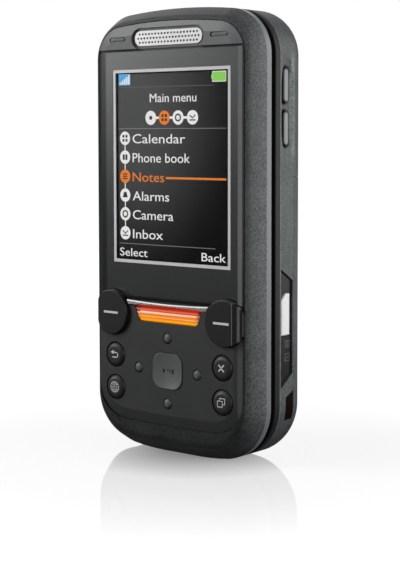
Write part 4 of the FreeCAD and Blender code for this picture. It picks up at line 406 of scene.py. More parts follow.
def make_battery():
    """A wrapped cell: dark label with a paler band across it."""
    shader = new_shader("battery")
    band = shader.inside_mm(shader.axes()[Z], BATTERY.low + 18.5, BATTERY.low + 28.5, 0.05)
    fine = shader.noise(3.0)
    return shader.principled(
        Base_Color=shader.mix(band, grey(58), grey(150)),
        Roughness=shader.gloss(fine, 0.28, 0.36),
        Normal=shader.bump(fine, 0.4, 0.004))


def brushed_metal(name, colour, roughness, scale=(1.0, 1.0, 1.0), depth=0.002):
    """Metal with fine lines along the axis whose scale is smallest."""
    shader = new_shader(name)
    lines = shader.noise(6.0, 2.0, 0.6, shader.stretched(scale))
    dark = tuple(c * 0.88 for c in colour)
    return shader.principled(
        Base_Color=shader.mix(lines, dark, colour),
        Metallic=1.0,
        Roughness=shader.gloss(lines, roughness - 0.05, roughness + 0.05),
        Normal=shader.bump(lines, 0.4, depth))


def make_silver_trim():
    """Bare sheet at the earpiece, silver paint on the display's border."""
    shader = new_shader("silver_trim")
    border = shader.ramp_mm(shader.axes()[Z], BORDER.high + 1.05, BORDER.high + 1.55, 1.0, 0.0)
    fine = shader.noise(5.0)
    sheet = shader.mix(fine, grey(186), grey(198))
    paint = shader.mix(fine, grey(224), grey(232))
    return shader.principled(
        Base_Color=shader.mix(border, sheet, paint),
        Metallic=shader.ramp(border, 0.0, 1.0, 1.0, 0.25),
        Roughness=shader.gloss(fine, 0.28, 0.36),
        Normal=shader.bump(fine, 0.4, 0.002))


def make_chrome():
    return brushed_metal("chrome", grey(232), 0.24, (0.1, 1.0, 1.0), 0.0001)


def make_slide_steel():
    return brushed_metal("slide_steel", grey(150), 0.34, (1.0, 1.0, 0.05))


def make_shield():
    return brushed_metal("shield", grey(200), 0.34, (0.05, 1.0, 1.0))


def make_screw():
    return brushed_metal("screw", grey(84), 0.38)


def make_spring():
    return brushed_metal("spring", grey(196), 0.2, depth=0.001)


def make_infrared():
    """Very dark red window that looks black."""
    shader = new_shader("infrared")
    fine = shader.noise(1.0)
    return shader.principled(
        Base_Color=shader.mix(fine, rgb(12, 4, 5), rgb(15, 5, 6)),
        Roughness=shader.gloss(fine, 0.08, 0.14),
        Specular_IOR_Level=0.15)


def painted_highlight_line(shader):
    """1 on the painted highlight line along the bevelled right side of the window and the panel under it."""
    return shader.inside_mm(shader.axes()[X], WINDOW.right - 1.4, WINDOW.right - 0.35, 0.12)


def make_window():
    """Clear sheet, smoked on its bevelled sides, with a painted highlight line on its right bevel, and black
    along its lower edge.
    """
    shader = new_shader("window")
    across, depth, up = shader.axes()
    line = painted_highlight_line(shader)
    foot = shader.ramp_mm(up, WINDOW.low + 0.55, WINDOW.low + 0.7, 1.0, 0.0)
    fine = shader.noise(2.0)
    smoke = shader.mix(fine, grey(38, 0.02), grey(42, 0.02))
    # The pale grey along the right bevel is a painted highlight.
    sides = shader.mix(line, smoke, grey(96, 0.02))
    aside = shader.calc("ABSOLUTE", across)
    beside = shader.ramp_mm(aside, WINDOW.right - 1.25, WINDOW.right - 0.95, 0.06, 0.60)
    opaque = shader.product(shader.calc("MAXIMUM", line, foot), 0.9)
    return shader.principled(
        Base_Color=shader.mix(foot, sides, grey(6)),
        Roughness=shader.gloss(fine, 0.08, 0.12),
        Alpha=shader.calc("MAXIMUM", beside, opaque))


def make_window_paint():
    """Dark metallic paint on the inside of the window, left out over the display and its silver border."""
    shader = new_shader("window_paint")
    across, depth, up = shader.axes()
    margin, soft = 0.03, 0.02
    clear = shader.product(shader.inside_mm(across, BORDER.left - margin, BORDER.right + margin, soft),
                           shader.inside_mm(up, BORDER.low - margin, BORDER.high + margin, soft))
    fine = shader.noise(4.0)
    return shader.principled(
        Base_Color=shader.mix(fine, grey(66, 0.02), grey(70, 0.02)),
        Metallic=0.72,
        Roughness=shader.gloss(fine, 0.23, 0.25),
        Coat_Weight=1.0, Coat_Roughness=0.03,
        IOR=1.3,
        Alpha=shader.calc("SUBTRACT", 1.0, clear))


PAINTED_REFLECTION_X, PAINTED_REFLECTION_Z = -12.0, 76.0    # the middle of the painted reflection
PAINTED_REFLECTION_SQUEEZE = 1.25             # it fades this much faster sideways


def make_display():
    """The lit display, with a painted reflection: a soft glow at its upper left that fades downwards stands
    in for the window's reflection, with a dark edge round it.
    """
    shader = new_shader("display")
    across, depth, up = shader.axes()
    lit = shader.product(shader.inside_mm(across, -SCREEN_HALF, SCREEN_HALF, 0.02),
                         shader.inside_mm(up, SCREEN_LOW, SCREEN_TOP, 0.02),
                         shader.ramp_mm(depth, GLASS + 0.01, GLASS + 0.05, 1.0, 0.0))
    # Painted reflection: this glow in the emission stands in for the studio's reflection in the window.
    aside = shader.product(shader.calc("SUBTRACT", across, PAINTED_REFLECTION_X * MM), PAINTED_REFLECTION_SQUEEZE)
    above = shader.calc("SUBTRACT", up, PAINTED_REFLECTION_Z * MM)
    glow = shader.ramp_mm(shader.distance(aside, above), 4, 41, 1.0, 0.0)
    fine = shader.noise(4.0)
    return shader.principled(
        Base_Color=shader.mix(fine, grey(6), grey(8)),
        Roughness=shader.gloss(fine, 0.24, 0.30),
        Specular_IOR_Level=0.05,
        Emission_Color=shader.mix(glow, grey(4), grey(76, 0.01)),
        Emission_Strength=lit)


def colour_ramp(shader, value, stops):
    """Colours along the value, from (position, colour) stops."""
    ramp = shader.node("ShaderNodeValToRGB", {"Fac": value})
    elements = ramp.color_ramp.elements
    while len(elements) < len(stops):
        elements.new(0.5)
    for element, (position, colour) in zip(elements, stops):
        element.position = position
        element.color = (*colour, 1.0)
    return ramp.outputs[0]


# Colours from the light bar's foot to its top: the pale stops at 0.39 and 0.68 are painted highlights, and
# the dark red at the top is painted shade of its rounded face.
LIGHT_STOPS = (
    (0.00, rgb(226, 120, 8)), (0.14, rgb(255, 170, 26)), (0.28, rgb(248, 146, 14)),
    (0.34, rgb(196, 72, 14)), (0.39, rgb(250, 190, 130)), (0.45, rgb(240, 136, 20)),
    (0.57, rgb(230, 118, 22)), (0.68, rgb(248, 214, 196)), (0.77, rgb(208, 64, 10)),
    (1.00, rgb(172, 36, 8)))


def make_light_bar():
    """Clear orange plastic, lit from behind: dark red on top as painted shade of its rounded face, pale
    streaks as painted highlights, yellow low down, fine lines.
    """
    shader = new_shader("light_bar")
    across, depth, up = shader.axes()
    lines = shader.noise(2.6, 3.0, 0.6, shader.stretched((0.02, 1.0, 1.0)))
    height = shader.ramp_mm(up, LIGHT.low - 0.2, LIGHT.high + 0.05, smooth=False)
    waved = shader.calc("ADD", height, shader.product(shader.calc("SUBTRACT", lines, 0.5), 0.16))
    plain = colour_ramp(shader, waved, LIGHT_STOPS)
    ends = shader.mix(shader.ramp(lines, 0.42, 0.58), rgb(70, 12, 24), plain)
    middle = shader.inside_mm(across, LIGHT.left + 1.8, LIGHT.right - 0.8, 0.4)
    colour = shader.mix(middle, ends, plain)
    return shader.principled(
        Base_Color=shader.mix(0.85, colour, (0.0, 0.0, 0.0)),
        Roughness=shader.gloss(lines, 0.08, 0.14),
        Emission_Color=colour,
        Emission_Strength=0.9,
        Specular_IOR_Level=0.25)


def make_lens():
    """Dark coated glass of the camera, with a ring round its pupil."""
    shader = new_shader("lens")
    across, depth, up = shader.axes()
    radius = shader.distance(shader.calc("SUBTRACT", across, LENS.middle.x * MM),
                             shader.calc("SUBTRACT", up, LENS.middle.z * MM))
    ring = shader.inside_mm(radius, 1.9, 2.25, 0.05)
    pupil = shader.ramp_mm(radius, 1.0, 1.15, 1.0, 0.0)
    dark = shader.mix(pupil, grey(20), rgb(24, 20, 48))
    return shader.principled(
        Base_Color=shader.mix(ring, dark, grey(120)),
        Roughness=shader.gloss(shader.noise(1.0), 0.04, 0.08),
        Coat_Weight=0.6, Coat_Roughness=0.03)


RIB_PITCH = 0.45


def make_flash():
    """Clear ribbed window of the camera's light."""
    shader = new_shader("flash")
    ribs = shader.calc("SINE", shader.product(shader.axes()[X], 2 * math.pi / (RIB_PITCH * MM)))
    return shader.principled(
        Base_Color=shader.mix(shader.ramp(ribs, -1.0, 1.0), rgb(206, 204, 176), rgb(240, 240, 224)),
        Roughness=shader.ramp(ribs, -1.0, 1.0, 0.12, 0.2),
        Normal=shader.bump(ribs, 0.6, 0.05),
        Coat_Weight=0.5, Coat_Roughness=0.05)


def glowing(name, colour):
    """A lit part of the display's picture."""
    shader = new_shader(name)
    fine = shader.noise(8.0)
    shade = tuple(c * 0.96 for c in colour)
    return shader.principled(
        Base_Color=(0.01, 0.01, 0.01),
        Roughness=0.4,
        Emission_Color=shader.mix(fine, shade, colour),
        Emission_Strength=1.0)


def printed(name, colour):
    """Print on a key or beside one."""
    shader = new_shader(name)
    fine = shader.noise(6.0)
    shade = tuple(c * 0.9 for c in colour)
    return shader.principled(
        Base_Color=shader.mix(fine, shade, colour),
        Roughness=shader.gloss(fine, 0.35, 0.45))


MAKERS = {
    "front_housing": make_front_housing, "front_panel": make_front_panel, "window": make_window,
    "display": make_display, "silver_trim": make_silver_trim, "chrome": make_chrome,
    "light_bar": make_light_bar, "light_band": make_light_band, "slide_steel": make_slide_steel,
    "board": make_board, "screw": make_screw, "key": make_key, "deck": make_deck,
    "number_key": make_number_key, "rear_shell": make_rear_shell, "side_trim": make_side_trim,
    "infrared": make_infrared, "silver_key": make_silver_key, "side_key": make_side_key,
    "shield": make_shield, "battery": make_battery, "component": make_component, "lens": make_lens,
    "flash": make_flash, "spring": make_spring, "flex": make_flex,
}
MATERIALS = {slot: make() for slot, make in MAKERS.items()}
INK = {
    "white": glowing("glow_white", rgb(238, 238, 236)),
    "orange": glowing("glow_orange", rgb(232, 124, 24)),
    "grey": glowing("glow_grey", rgb(132, 132, 130)),
    "dim": glowing("glow_dim", rgb(96, 96, 95)),
    "blue": glowing("glow_blue", rgb(80, 168, 230)),
    "green": glowing("glow_green", rgb(134, 210, 86)),
    "dark": glowing("glow_dark", rgb(18, 18, 18)),
    "print": printed("key_print", grey(184)),
    "faint": printed("faint_print", grey(84)),
    "dark_print": printed("dark_print", grey(24)),
}


def dress_nodes():
    """Gives every solid of the frame the material that the record names for it."""
    for part in frame["record"]["subparts"]:
        mesh = frame["nodes"][part["node"]].data
        mesh.materials.clear()
        mesh.materials.append(MATERIALS[part["material_slot"]])


# ---------------------------------------------------------------------------
# Flat marks: outlines in the X-Z plane, given a small thickness
# ---------------------------------------------------------------------------

PROUD, SUNK = 0.015, 0.05                # a mark's faces, in front of and behind the surface that it lies on
LOOSE_FRONT, LOOSE_BACK = -20.0, -19.0   # where a mark's faces wait, in front of the phone, to be laid on it
AHEAD = -50.0                            # in front of all of them


def new_piece(name, verts, faces, material, body):
    mesh = bpy.data.meshes.new(name)
    mesh.from_pydata(verts, [], faces)
    mesh.update()
    piece = bpy.data.objects.new(name, mesh)
    bpy.context.collection.objects.link(piece)
    mesh.materials.append(material)
    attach(piece, body)


def ring_points(x, z, radius, count=28, start=0.0, turn=2 * math.pi):
    """Points along a ring or an arc; the last point of a full ring isn't the first one again."""
    steps = count if turn == 2 * math.pi else count - 1
    return [(x + radius * math.cos(start + turn * i / steps),
             z + radius * math.sin(start + turn * i / steps)) for i in range(count)]


def stroke(points, width, closed=False):
    """The outline, as quads, of a line of this width through the points."""
    count = len(points)
    sides = []
    for i, (x, z) in enumerate(points):
        before = points[i - 1] if (closed or i > 0) else points[i]
        after = points[(i + 1) % count] if (closed or i < count - 1) else points[i]
        dx, dz = after[0] - before[0], after[1] - before[1]
        size = math.hypot(dx, dz) or 1.0
        nx, nz = -dz / size * width / 2, dx / size * width / 2
        sides.append(((x + nx, z + nz), (x - nx, z - nz)))
    following = sides[1:] + (sides[:1] if closed else [])
    return [[one[0], one[1], two[1], two[0]] for one, two in zip(sides, following)]


def box_shape(x0, z0, x1, z1):
    return [[(x0, z0), (x1, z0), (x1, z1), (x0, z1)]]


def rectangle(x, z, half_x, half_z):
    """The corners of a rectangle about its middle."""
    return box_shape(x - half_x, z - half_z, x + half_x, z + half_z)[0]


def disc_shape(x, z, radius, count=28):
    return [ring_points(x, z, radius, count)]


def slabs(shapes, front, back):
    """Closed slabs between Y front and back (mm) from polygons of (x, z) in mm."""
    verts, faces = [], []
    for shape in shapes:
        area = sum(a[0] * b[1] - b[0] * a[1] for a, b in zip(shape, shape[1:] + shape[:1]))
        loop = shape if area > 0 else shape[::-1]
        base, count = len(verts), len(loop)
        verts += [(x * MM, front * MM, z * MM) for x, z in loop]
        verts += [(x * MM, back * MM, z * MM) for x, z in loop]
        faces.append([base + i for i in range(count)])
        faces.append([base + count + i for i in reversed(range(count))])
        for i in range(count):
            j = (i + 1) % count
            faces.append([base + j, base + i, base + count + i, base + count + j])
    return verts, faces


def text_mesh(words, size, align="LEFT"):
    """A word as a flat mesh: points in mm, with 0 at the foot of its capitals, and polygons."""
    curve = bpy.data.curves.new("words", "FONT")
    curve.body = words
    curve.size = size
    curve.align_x = align
    curve.resolution_u = 3
    holder = bpy.data.objects.new("words", curve)
    bpy.context.collection.objects.link(holder)
    bpy.context.view_layer.update()
    mesh = bpy.data.meshes.new_from_object(holder)
    points = [(v.co.x, v.co.y) for v in mesh.vertices]
    polygons = [list(p.vertices) for p in mesh.polygons]
    bpy.data.objects.remove(holder)
    bpy.data.curves.remove(curve)
    bpy.data.meshes.remove(mesh)
    return points, polygons


def thick_mesh(points, polygons, front, back):
    """Closes a flat mesh into a plate between Y front and back (mm)."""
    count = len(points)
    verts = [(x * MM, front * MM, z * MM) for x, z in points]
    verts += [(x * MM, back * MM, z * MM) for x, z in points]
    faces = []
    edges = {}                # a dictionary keeps the edges in order
    for polygon in polygons:
        faces.append(list(polygon))
        faces.append([count + i for i in reversed(polygon)])
        edges.update(dict.fromkeys(zip(polygon, polygon[1:] + polygon[:1])))
    faces += [[b, a, count + a, count + b] for a, b in edges if (b, a) not in edges]
    return verts, faces


def lay_on(verts, node):
    """Moves a loose slab's front and back faces onto the node's front surface, to follow its curve."""
    mesh = frame["nodes"][node].data
    tree = BVHTree.FromPolygons([v.co for v in mesh.vertices], [tuple(p.vertices) for p in mesh.polygons])
    middle = (LOOSE_FRONT + LOOSE_BACK) / 2 * MM
    laid = []
    for x, y, z in verts:
        hit = tree.ray_cast(Vector((x, AHEAD * MM, z)), Vector((0, 1, 0)))[0]
        surface = hit.y if hit else y
        laid.append((x, surface - PROUD * MM if y < middle else surface + SUNK * MM, z))
    return laid


# ---------------------------------------------------------------------------
# The display's picture
# ---------------------------------------------------------------------------

PICTURE_FRONT = GLASS - 0.03
PICTURE_BACK = GLASS + 0.01
OVER, UNDER = 0.01, -0.005    # how far a shape's face lies in front of the picture's, or behind it
CAPITALS = 0.73               # the height of the font's capitals, as a share of its size


def screen_shapes(name, ink, shapes, lift=0.0):
    verts, faces = slabs(shapes, PICTURE_FRONT - lift, PICTURE_BACK)
    new_piece(name, verts, faces, INK[ink], FRONT)


def screen_words(name, ink, words, cap, x, z, length, align="LEFT"):
    """Words with capitals as high as cap, stretched to this length; x is their left, middle or right."""
    points, polygons = text_mesh(words, cap / CAPITALS, align)
    low = min(p[0] for p in points)
    high = max(p[0] for p in points)
    grow = length / (high - low)
    start = {"LEFT": low, "CENTER": 0.0, "RIGHT": high}[align]
    points = [(x + (px - start) * grow, z + pz) for px, pz in points]
    verts, faces = thick_mesh(points, polygons, PICTURE_FRONT, PICTURE_BACK)
    new_piece(name, verts, faces, INK[ink], FRONT)


def divider(name, z, x0, x1, thick=0.12, ink="grey"):
    screen_shapes(name, ink, box_shape(x0, z - thick / 2, x1, z + thick / 2))


def round_badge(name, ink, x, z, radius, motif):
    """A disc with a dark motif on it."""
    screen_shapes(name, ink, disc_shape(x, z, radius))
    screen_shapes(name + "_motif", "dark", motif(x, z), OVER)


def motif_book(x, z):
    return box_shape(x - 0.7, z - 0.6, x - 0.1, z + 0.6) + box_shape(x + 0.1, z - 0.6, x + 0.7, z + 0.6)


def motif_letter(x, z):
    fold = [(x - 0.8, z + 0.5), (x, z - 0.1), (x + 0.8, z + 0.5)]
    foot = [(x - 0.8, z - 0.55), (x + 0.8, z - 0.55)]
    return stroke(fold, 0.28) + stroke(foot, 0.28)


def motif_lens(x, z):
    return stroke(ring_points(x, z, 0.7, 20), 0.34, True)


def motif_grid(x, z):
    return [rectangle(x + i, z + k, 0.3, 0.3) for i in (-0.46, 0.46) for k in (-0.46, 0.46)]


def motif_lines(x, z):
    return [rectangle(x, z + k, 0.7, 0.13) for k in (-0.5, 0.0, 0.5)]


def motif_bell(x, z):
    return [[(x - 0.75, z - 0.5), (x + 0.75, z - 0.5), (x + 0.35, z + 0.7), (x - 0.35, z + 0.7)]]


def motif_dot(x, z):
    return disc_shape(x, z, 0.45, 16)


def draw_status_row():
    """Signal strength at the left and battery at the right of the top row."""
    top = SCREEN_TOP
    screen_shapes("signal_field", "blue", box_shape(-15.1, top - 2.4, -11.7, top + 0.1))
    bar_width, bar_pitch, bar_step = 0.44, 0.64, 0.42
    bars = []
    for i in range(5):
        left = -14.9 + bar_pitch * i
        bars += box_shape(left, top - 2.2, left + bar_width, top - 1.8 + bar_step * i)
    screen_shapes("signal_bars", "white", bars, OVER)
    cell = box_shape(11.7, top - 2.1, 15.2, top - 0.1)
    knob = box_shape(11.3, top - 1.5, 11.7, top - 0.7)
    screen_shapes("battery_level", "green", cell + knob)
    edge = rectangle(13.425, top - 1.1, 1.825, 1.05)
    screen_shapes("battery_edge", "white", stroke(edge, 0.16, True), OVER)


def draw_top_badges():
    """Four round pictures in a row, the second one marked, on a bar that joins them."""
    z = SCREEN_TOP - 9.65
    row = (("top_1", "white", -5.7, motif_dot), ("top_2", "orange", -1.8, motif_grid),
           ("top_3", "white", 2.1, motif_lens), ("top_4", "white", 6.15, motif_letter))
    screen_shapes("badge_bar", "white", box_shape(row[0][2], z - 0.25, row[-1][2], z + 0.25), UNDER)
    for name, ink, x, motif in row:
        round_badge("badge_" + name, ink, x, z, 1.55, motif)


Row = namedtuple("Row", "words ink length down motif")    # down is from SCREEN_TOP
ROWS = (
    Row("Calendar", "white", 15.2, 14.13, motif_grid), Row("Phone book", "white", 16.5, 18.33, motif_book),
    Row("Notes", "orange", 9.2, 22.59, motif_lines), Row("Alarms", "white", 10.6, 26.80, motif_bell),
    Row("Camera", "white", 11.8, 30.99, motif_lens), Row("Inbox", "white", 8.8, 35.25, motif_letter))
BADGES_X = -13.35
WORDS_X = -11.1


def draw_list():
    """Six rows, each with a round picture and a word; the third one is marked in orange."""
    line = box_shape(BADGES_X - 0.12, SCREEN_TOP - ROWS[-1].down, BADGES_X + 0.12, SCREEN_TOP - ROWS[0].down)
    screen_shapes("list_line", "white", line, UNDER)
    for row in ROWS:
        label = "list_" + row.words.replace(" ", "_").lower()
        z = SCREEN_TOP - row.down
        round_badge(label + "_badge", row.ink, BADGES_X, z, 1.5, row.motif)
        screen_words(label, row.ink, row.words, 2.15, WORDS_X, z - 1.1, row.length)
    marker = box_shape(-1.4, SCREEN_TOP - 23.0, SCREEN_HALF, SCREEN_TOP - 22.55)
    screen_shapes("list_marker", "orange", marker)


def draw_picture():
    """A plain menu on the display. Heights are taken down from the top of the lit part."""
    top = SCREEN_TOP
    draw_status_row()
    divider("line_top", top - 2.9, -14.85, 12.0, 0.10, "dim")
    screen_words("title", "white", "Main menu", 2.0, 0.6, top - 6.25, 13.2, "CENTER")
    draw_top_badges()
    divider("line_middle", top - 12.0, -SCREEN_HALF, SCREEN_HALF)
    draw_list()
    divider("line_low", top - 37.6, -15.1, 12.4)
    screen_words("left_label", "white", "Select", 1.9, -15.0, top - 40.4, 8.2)
    screen_words("right_label", "white", "Back", 1.9, 15.2, top - 40.4, 6.6, "RIGHT")


PAINT_FRONT, PAINT_BACK = 0.03, 0.01    # the paint's faces, in front of the window's back face
SAME_PLACE = 1e-6


def paint_window():
    """The paint: a thin sheet just inside the window's back face, with the face's outline."""
    mesh = frame["nodes"]["display_window"].data
    back = max(v.co.y for v in mesh.vertices)
    faces = [list(reversed(p.vertices)) for p in mesh.polygons
             if all(abs(mesh.vertices[i].co.y - back) < SAME_PLACE for i in p.vertices)]
    used = sorted({i for face in faces for i in face})
    place = {old: new for new, old in enumerate(used)}
    points = [(mesh.vertices[i].co.x / MM, mesh.vertices[i].co.z / MM) for i in used]
    verts, faces = thick_mesh(points, [[place[i] for i in face] for face in faces],
                              back / MM - PAINT_FRONT, back / MM - PAINT_BACK)
    new_piece("window_paint", verts, faces, make_window_paint(), FRONT)


# ---------------------------------------------------------------------------
# Marks on the keys
# ---------------------------------------------------------------------------


def key_mark(name, node, shapes, ink="print"):
    """Print laid on a key's surface."""
    verts, faces = slabs(shapes, LOOSE_FRONT, LOOSE_BACK)
    new_piece(name, lay_on(verts, node), faces, INK[ink], node)


def soft_key_bars():
    """A short bar on each soft key, a little off its middle."""
    half_length, width = 2.1, 0.5
    for side, shift in (("left", 0.05), ("right", -0.25)):
        middle = Extent("soft_key_" + side).middle
        x, z = middle.x + shift, middle.z
        bar = stroke([(x - half_length, z), (x + half_length, z)], width)
        key_mark("bar_" + side, "soft_key_" + side, bar)


def back_arrow(x, z):
    """A line that comes from the right, turns round and ends in an arrow head pointing left."""
    bend = ring_points(x + 0.45, z - 0.1, 0.55, 12, -math.pi / 2, math.pi)
    line = [(x - 0.7, z - 0.65)] + bend + [(x - 0.35, z + 0.45)]
    head = [[(x - 1.15, z + 0.45), (x - 0.25, z + 0.0), (x - 0.25, z + 0.95)]]
    return stroke(line, 0.22) + head


def globe(x, z):
    """A ring with a narrower ring in it, an upright line and three level ones."""
    radius, narrow = 1.2, 0.55 / 1.2
    inner = [(x + (px - x) * narrow, pz) for px, pz in ring_points(x, z, radius, 24)]
    shapes = stroke(ring_points(x, z, radius), 0.14, True) + stroke(inner, 0.10, True)
    shapes += stroke([(x, z - radius), (x, z + radius)], 0.09)
    for rise, reach in ((-0.6, 1.0), (0.0, 1.15), (0.6, 1.0)):
        shapes += stroke([(x - reach, z + rise), (x + reach, z + rise)], 0.09)
    return shapes


def cross(x, z):
    reach, width = 0.72, 0.3
    rising = [(x - reach, z - reach), (x + reach, z + reach)]
    falling = [(x - reach, z + reach), (x + reach, z - reach)]
    return stroke(rising, width) + stroke(falling, width)


def two_pages(x, z):
    """A page, and the edges of another one that stands out behind it."""
    front = rectangle(x - 0.35, z - 0.275, 0.65, 0.625)
    back = [(x - 0.45, z + 0.35), (x - 0.45, z + 0.95), (x + 0.95, z + 0.95),
            (x + 0.95, z - 0.3), (x + 0.3, z - 0.3)]
    return stroke(front, 0.2, True) + stroke(back, 0.2)


def round_key_marks():
    for node, draw in (("back_key", back_arrow), ("internet_key", globe),
                       ("clear_key", cross), ("activity_key", two_pages)):
        middle = Extent(node).middle
        key_mark(node + "_mark", node, draw(middle.x, middle.z))


def select_key_marks():
    """Plain signs for play, pause and stop."""
    z = Extent("select_key").middle.z - 0.05
    shapes = [[(-1.5, z - 0.6), (-1.5, z + 0.6), (-0.6, z)]]
    for left, right in ((-0.25, 0.05), (0.25, 0.55), (0.95, 1.75)):
        shapes += box_shape(left, z - 0.5, right, z + 0.5)
    key_mark("select_key_mark", "select_key", shapes, "dark_print")


def side_marks():
    """A small camera and a small picture, faint, under the camera key."""
    y = 3.1
    camera_z = Extent("camera_key").low - 1.05
    picture_z = camera_z - 2.9
    shapes = stroke(rectangle(y, camera_z, 0.85, 0.65), 0.16, True)
    shapes += stroke(ring_points(y, camera_z, 0.34, 14), 0.14, True)
    shapes += stroke(rectangle(y, picture_z, 0.8, 0.75), 0.16, True)
    hills = ((-0.6, -0.45), (-0.1, 0.2), (0.15, -0.15), (0.6, 0.35))
    shapes += stroke([(y + along, picture_z + rise) for along, rise in hills], 0.12)
    verts, faces = slabs(shapes, -SIDE_FACE - PROUD, SUNK - SIDE_FACE)
    facing_right = [(-depth, across, up) for across, depth, up in verts]
    new_piece("side_marks", facing_right, faces, INK["faint"], REAR)


NUMERAL_SIZE = 4.4


def number_marks():
    """A pale numeral or sign in the middle of each number key."""
    for label in ("1", "2", "3", "4", "5", "6", "7", "8", "9", "star", "0", "hash"):
        node = "number_key_" + label
        key = Extent(node).middle
        points, polygons = text_mesh({"star": "*", "hash": "#"}.get(label, label), NUMERAL_SIZE)
        middle_x = (min(p[0] for p in points) + max(p[0] for p in points)) / 2
        middle_z = (min(p[1] for p in points) + max(p[1] for p in points)) / 2
        points = [(key.x + px - middle_x, key.z + pz - middle_z) for px, pz in points]
        verts, faces = thick_mesh(points, polygons, LOOSE_FRONT, LOOSE_BACK)
        new_piece("numeral_" + label, lay_on(verts, node), faces, INK["print"], node)


# ---------------------------------------------------------------------------
# Stage, light and camera
# ---------------------------------------------------------------------------

WHITE = (1.0, 1.0, 1.0)
FLOOR_HALF = 0.45
FLOOR_CELLS = 8


def ray_kinds(shader):
    """1 on rays from the camera, and 1 on rays that come by way of a gloss or through a clear piece."""
    path = shader.node("ShaderNodeLightPath").outputs
    return path["Is Camera Ray"], shader.calc("MAXIMUM", path["Is Glossy Ray"], path["Is Transmission Ray"])


def make_floor_material():
    """White floor that keeps the phone's shadow and mirrors it near its foot; it lights the phone little."""
    shader = new_shader("floor")
    across, depth, up = shader.axes()
    reach = shader.distance(across, depth)
    camera, mirrored = ray_kinds(shader)
    lit = shader.mix(shader.noise(0.4), grey(98), grey(102))
    cloth = shader.node("ShaderNodeBsdfDiffuse", {"Color": shader.mix(camera, grey(70), lit)})
    far = shader.ramp_mm(reach, 40, 120, 0.85, 1.0)
    beside = shader.calc("ADD", shader.ramp_mm(across, 30, 330, 0.03, 1.5), shader.ramp_mm(depth, 60, 420))
    glow = shader.calc("ADD", shader.product(camera, far), shader.product(mirrored, beside))
    bright = shader.node("ShaderNodeEmission", {"Color": WHITE, "Strength": glow})
    base = shader.node("ShaderNodeAddShader", {0: cloth.outputs[0], 1: bright.outputs[0]})
    mirror = shader.node("ShaderNodeBsdfGlossy", {"Roughness": 0.05, "Color": WHITE})
    near = shader.calc("ADD", shader.ramp_mm(reach, 7, 28, 0.42, 0.0, smooth=False),
                       shader.ramp_mm(reach, 10, 80, 0.30, 0.0, smooth=False))
    both = {"Fac": shader.product(near, camera), 1: base.outputs[0], 2: mirror.outputs[0]}
    return shader.finish(shader.node("ShaderNodeMixShader", both).outputs[0])


def make_floor():
    bpy.ops.mesh.primitive_grid_add(x_subdivisions=FLOOR_CELLS, y_subdivisions=FLOOR_CELLS,
                                    size=2 * FLOOR_HALF, location=(0, 0, 0))
    floor = bpy.context.object
    floor.name = "floor"
    floor.data.materials.append(make_floor_material())


Patch = namedtuple("Patch", "strength left right side_soft low high low_soft high_soft")
AMBIENT = 0.18
STUDIO = (
    Patch(4.6, -60, -41, 8, 2, 36, 6, 12),      # box at the left of the camera; its edge shows in the window
    Patch(1.3, -85, -5, 14, 22, 60, 10, 12),    # box above the camera
    Patch(0.5, -20, -3, 5, -14, 24, 8, 10),     # narrow strip in front
    Patch(2.9, 64, 152, 14, -10, 36, 8, 12),    # large box at the right
)
BACKDROP = Patch(0.9, -165, -110, 12, -20, 50, 8, 12)


def patch_light(shader, azimuth, height, patch):
    """A soft-edged patch of light. Its sides are in degrees round the phone, low and high in degrees up."""
    left, right, side_soft, low, high, low_soft, high_soft = (math.radians(a) for a in patch[1:])
    across = shader.inside(azimuth, left, right, side_soft)
    rise = shader.ramp(height, low - low_soft, low + low_soft)
    fall = shader.ramp(height, high - high_soft, high + high_soft, 1.0, 0.0)
    return shader.product(shader.product(across, patch.strength), shader.product(rise, fall))


def make_world():
    """White for the camera, a dim studio with soft boxes for other rays, and a white backdrop in mirrors."""
    world = bpy.data.worlds.new("studio")
    bpy.context.scene.world = world
    shader = Shader(world, "ShaderNodeOutputWorld")
    way = shader.node("ShaderNodeTexCoord").outputs["Generated"]
    ahead, aside, up = shader.node("ShaderNodeSeparateXYZ", {"Vector": way}).outputs
    azimuth = shader.calc("ARCTAN2", ahead, shader.product(aside, -1.0))
    height = shader.calc("ARCSINE", up)
    studio = AMBIENT
    for patch in STUDIO:
        studio = shader.calc("ADD", studio, patch_light(shader, azimuth, height, patch))
    camera, mirrored = ray_kinds(shader)
    backdrop = shader.product(mirrored, patch_light(shader, azimuth, height, BACKDROP))
    white = shader.calc("MAXIMUM", camera, backdrop)
    strength = shader.calc("ADD", shader.product(studio, shader.calc("SUBTRACT", 1.0, white)), white)
    background = shader.node("ShaderNodeBackground", {"Color": WHITE, "Strength": strength})
    shader.finish(background.outputs[0])


LAMPS_AIM = Vector((0.0, 0.0, 0.05))


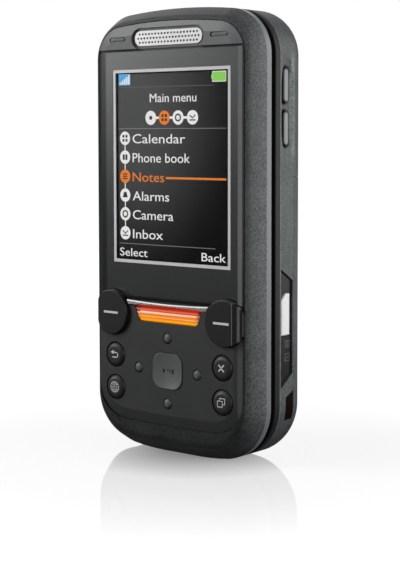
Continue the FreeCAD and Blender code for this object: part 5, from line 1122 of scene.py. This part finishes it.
def soft_light(name, place, size, power):
    light = bpy.data.lights.new(name, "AREA")
    light.shape = "RECTANGLE"
    light.size, light.size_y = size
    light.energy = power
    lamp = bpy.data.objects.new(name, light)
    lamp.location = place
    lamp.rotation_euler = (LAMPS_AIM - Vector(place)).to_track_quat("-Z", "Y").to_euler()
    lamp.visible_glossy = False
    bpy.context.collection.objects.link(lamp)


def make_lights():
    soft_light("left_softbox", (-0.48, -0.46, 0.34), (0.40, 0.40), 4.2)
    soft_light("right_softbox", (0.62, 0.20, 0.24), (0.35, 0.45), 1.8)


IMAGE_WIDTH = 400
IMAGE_HEIGHT = 563
FOCAL_PIXELS = 1391.251
PRINCIPAL_X, PRINCIPAL_Y = 196.51, 231.56
SENSOR = 36.0
AZIMUTH = 39.291                         # degrees to the right of the front
PITCH = 3.968                            # degrees down
ROLL = -0.092                            # degrees about its own axis
TARGET = Vector((0.0, 0.0006, 0.049))    # what it looks at, in metres
DISTANCE = 0.310186                      # how far it is from there, in metres
CLIP_START = 0.01


def make_camera():
    """The camera that was fitted to the picture: where it stands, how it is turned, and its lens."""
    azimuth, pitch, roll = (math.radians(a) for a in (AZIMUTH, PITCH, ROLL))
    level = math.cos(pitch)
    ahead = Vector((-math.sin(azimuth) * level, math.cos(azimuth) * level, -math.sin(pitch)))
    data = bpy.data.cameras.new("camera")
    data.sensor_width = SENSOR
    data.lens = FOCAL_PIXELS * SENSOR / IMAGE_HEIGHT
    data.shift_x = (IMAGE_WIDTH / 2 - PRINCIPAL_X) / IMAGE_HEIGHT
    data.shift_y = (PRINCIPAL_Y - IMAGE_HEIGHT / 2) / IMAGE_HEIGHT
    data.clip_start = CLIP_START
    camera = bpy.data.objects.new("camera", data)
    camera.location = TARGET - ahead * DISTANCE
    camera.rotation_mode = "QUATERNION"
    camera.rotation_quaternion = ahead.to_track_quat("-Z", "Y") @ Quaternion((0, 0, 1), roll)
    bpy.context.collection.objects.link(camera)
    bpy.context.scene.camera = camera


# ---------------------------------------------------------------------------
# The scene
# ---------------------------------------------------------------------------

bpy.context.scene.view_settings.view_transform = "Standard"
dress_nodes()
draw_picture()
paint_window()
soft_key_bars()
round_key_marks()
select_key_marks()
side_marks()
number_marks()
make_floor()
make_world()
make_lights()
make_camera()
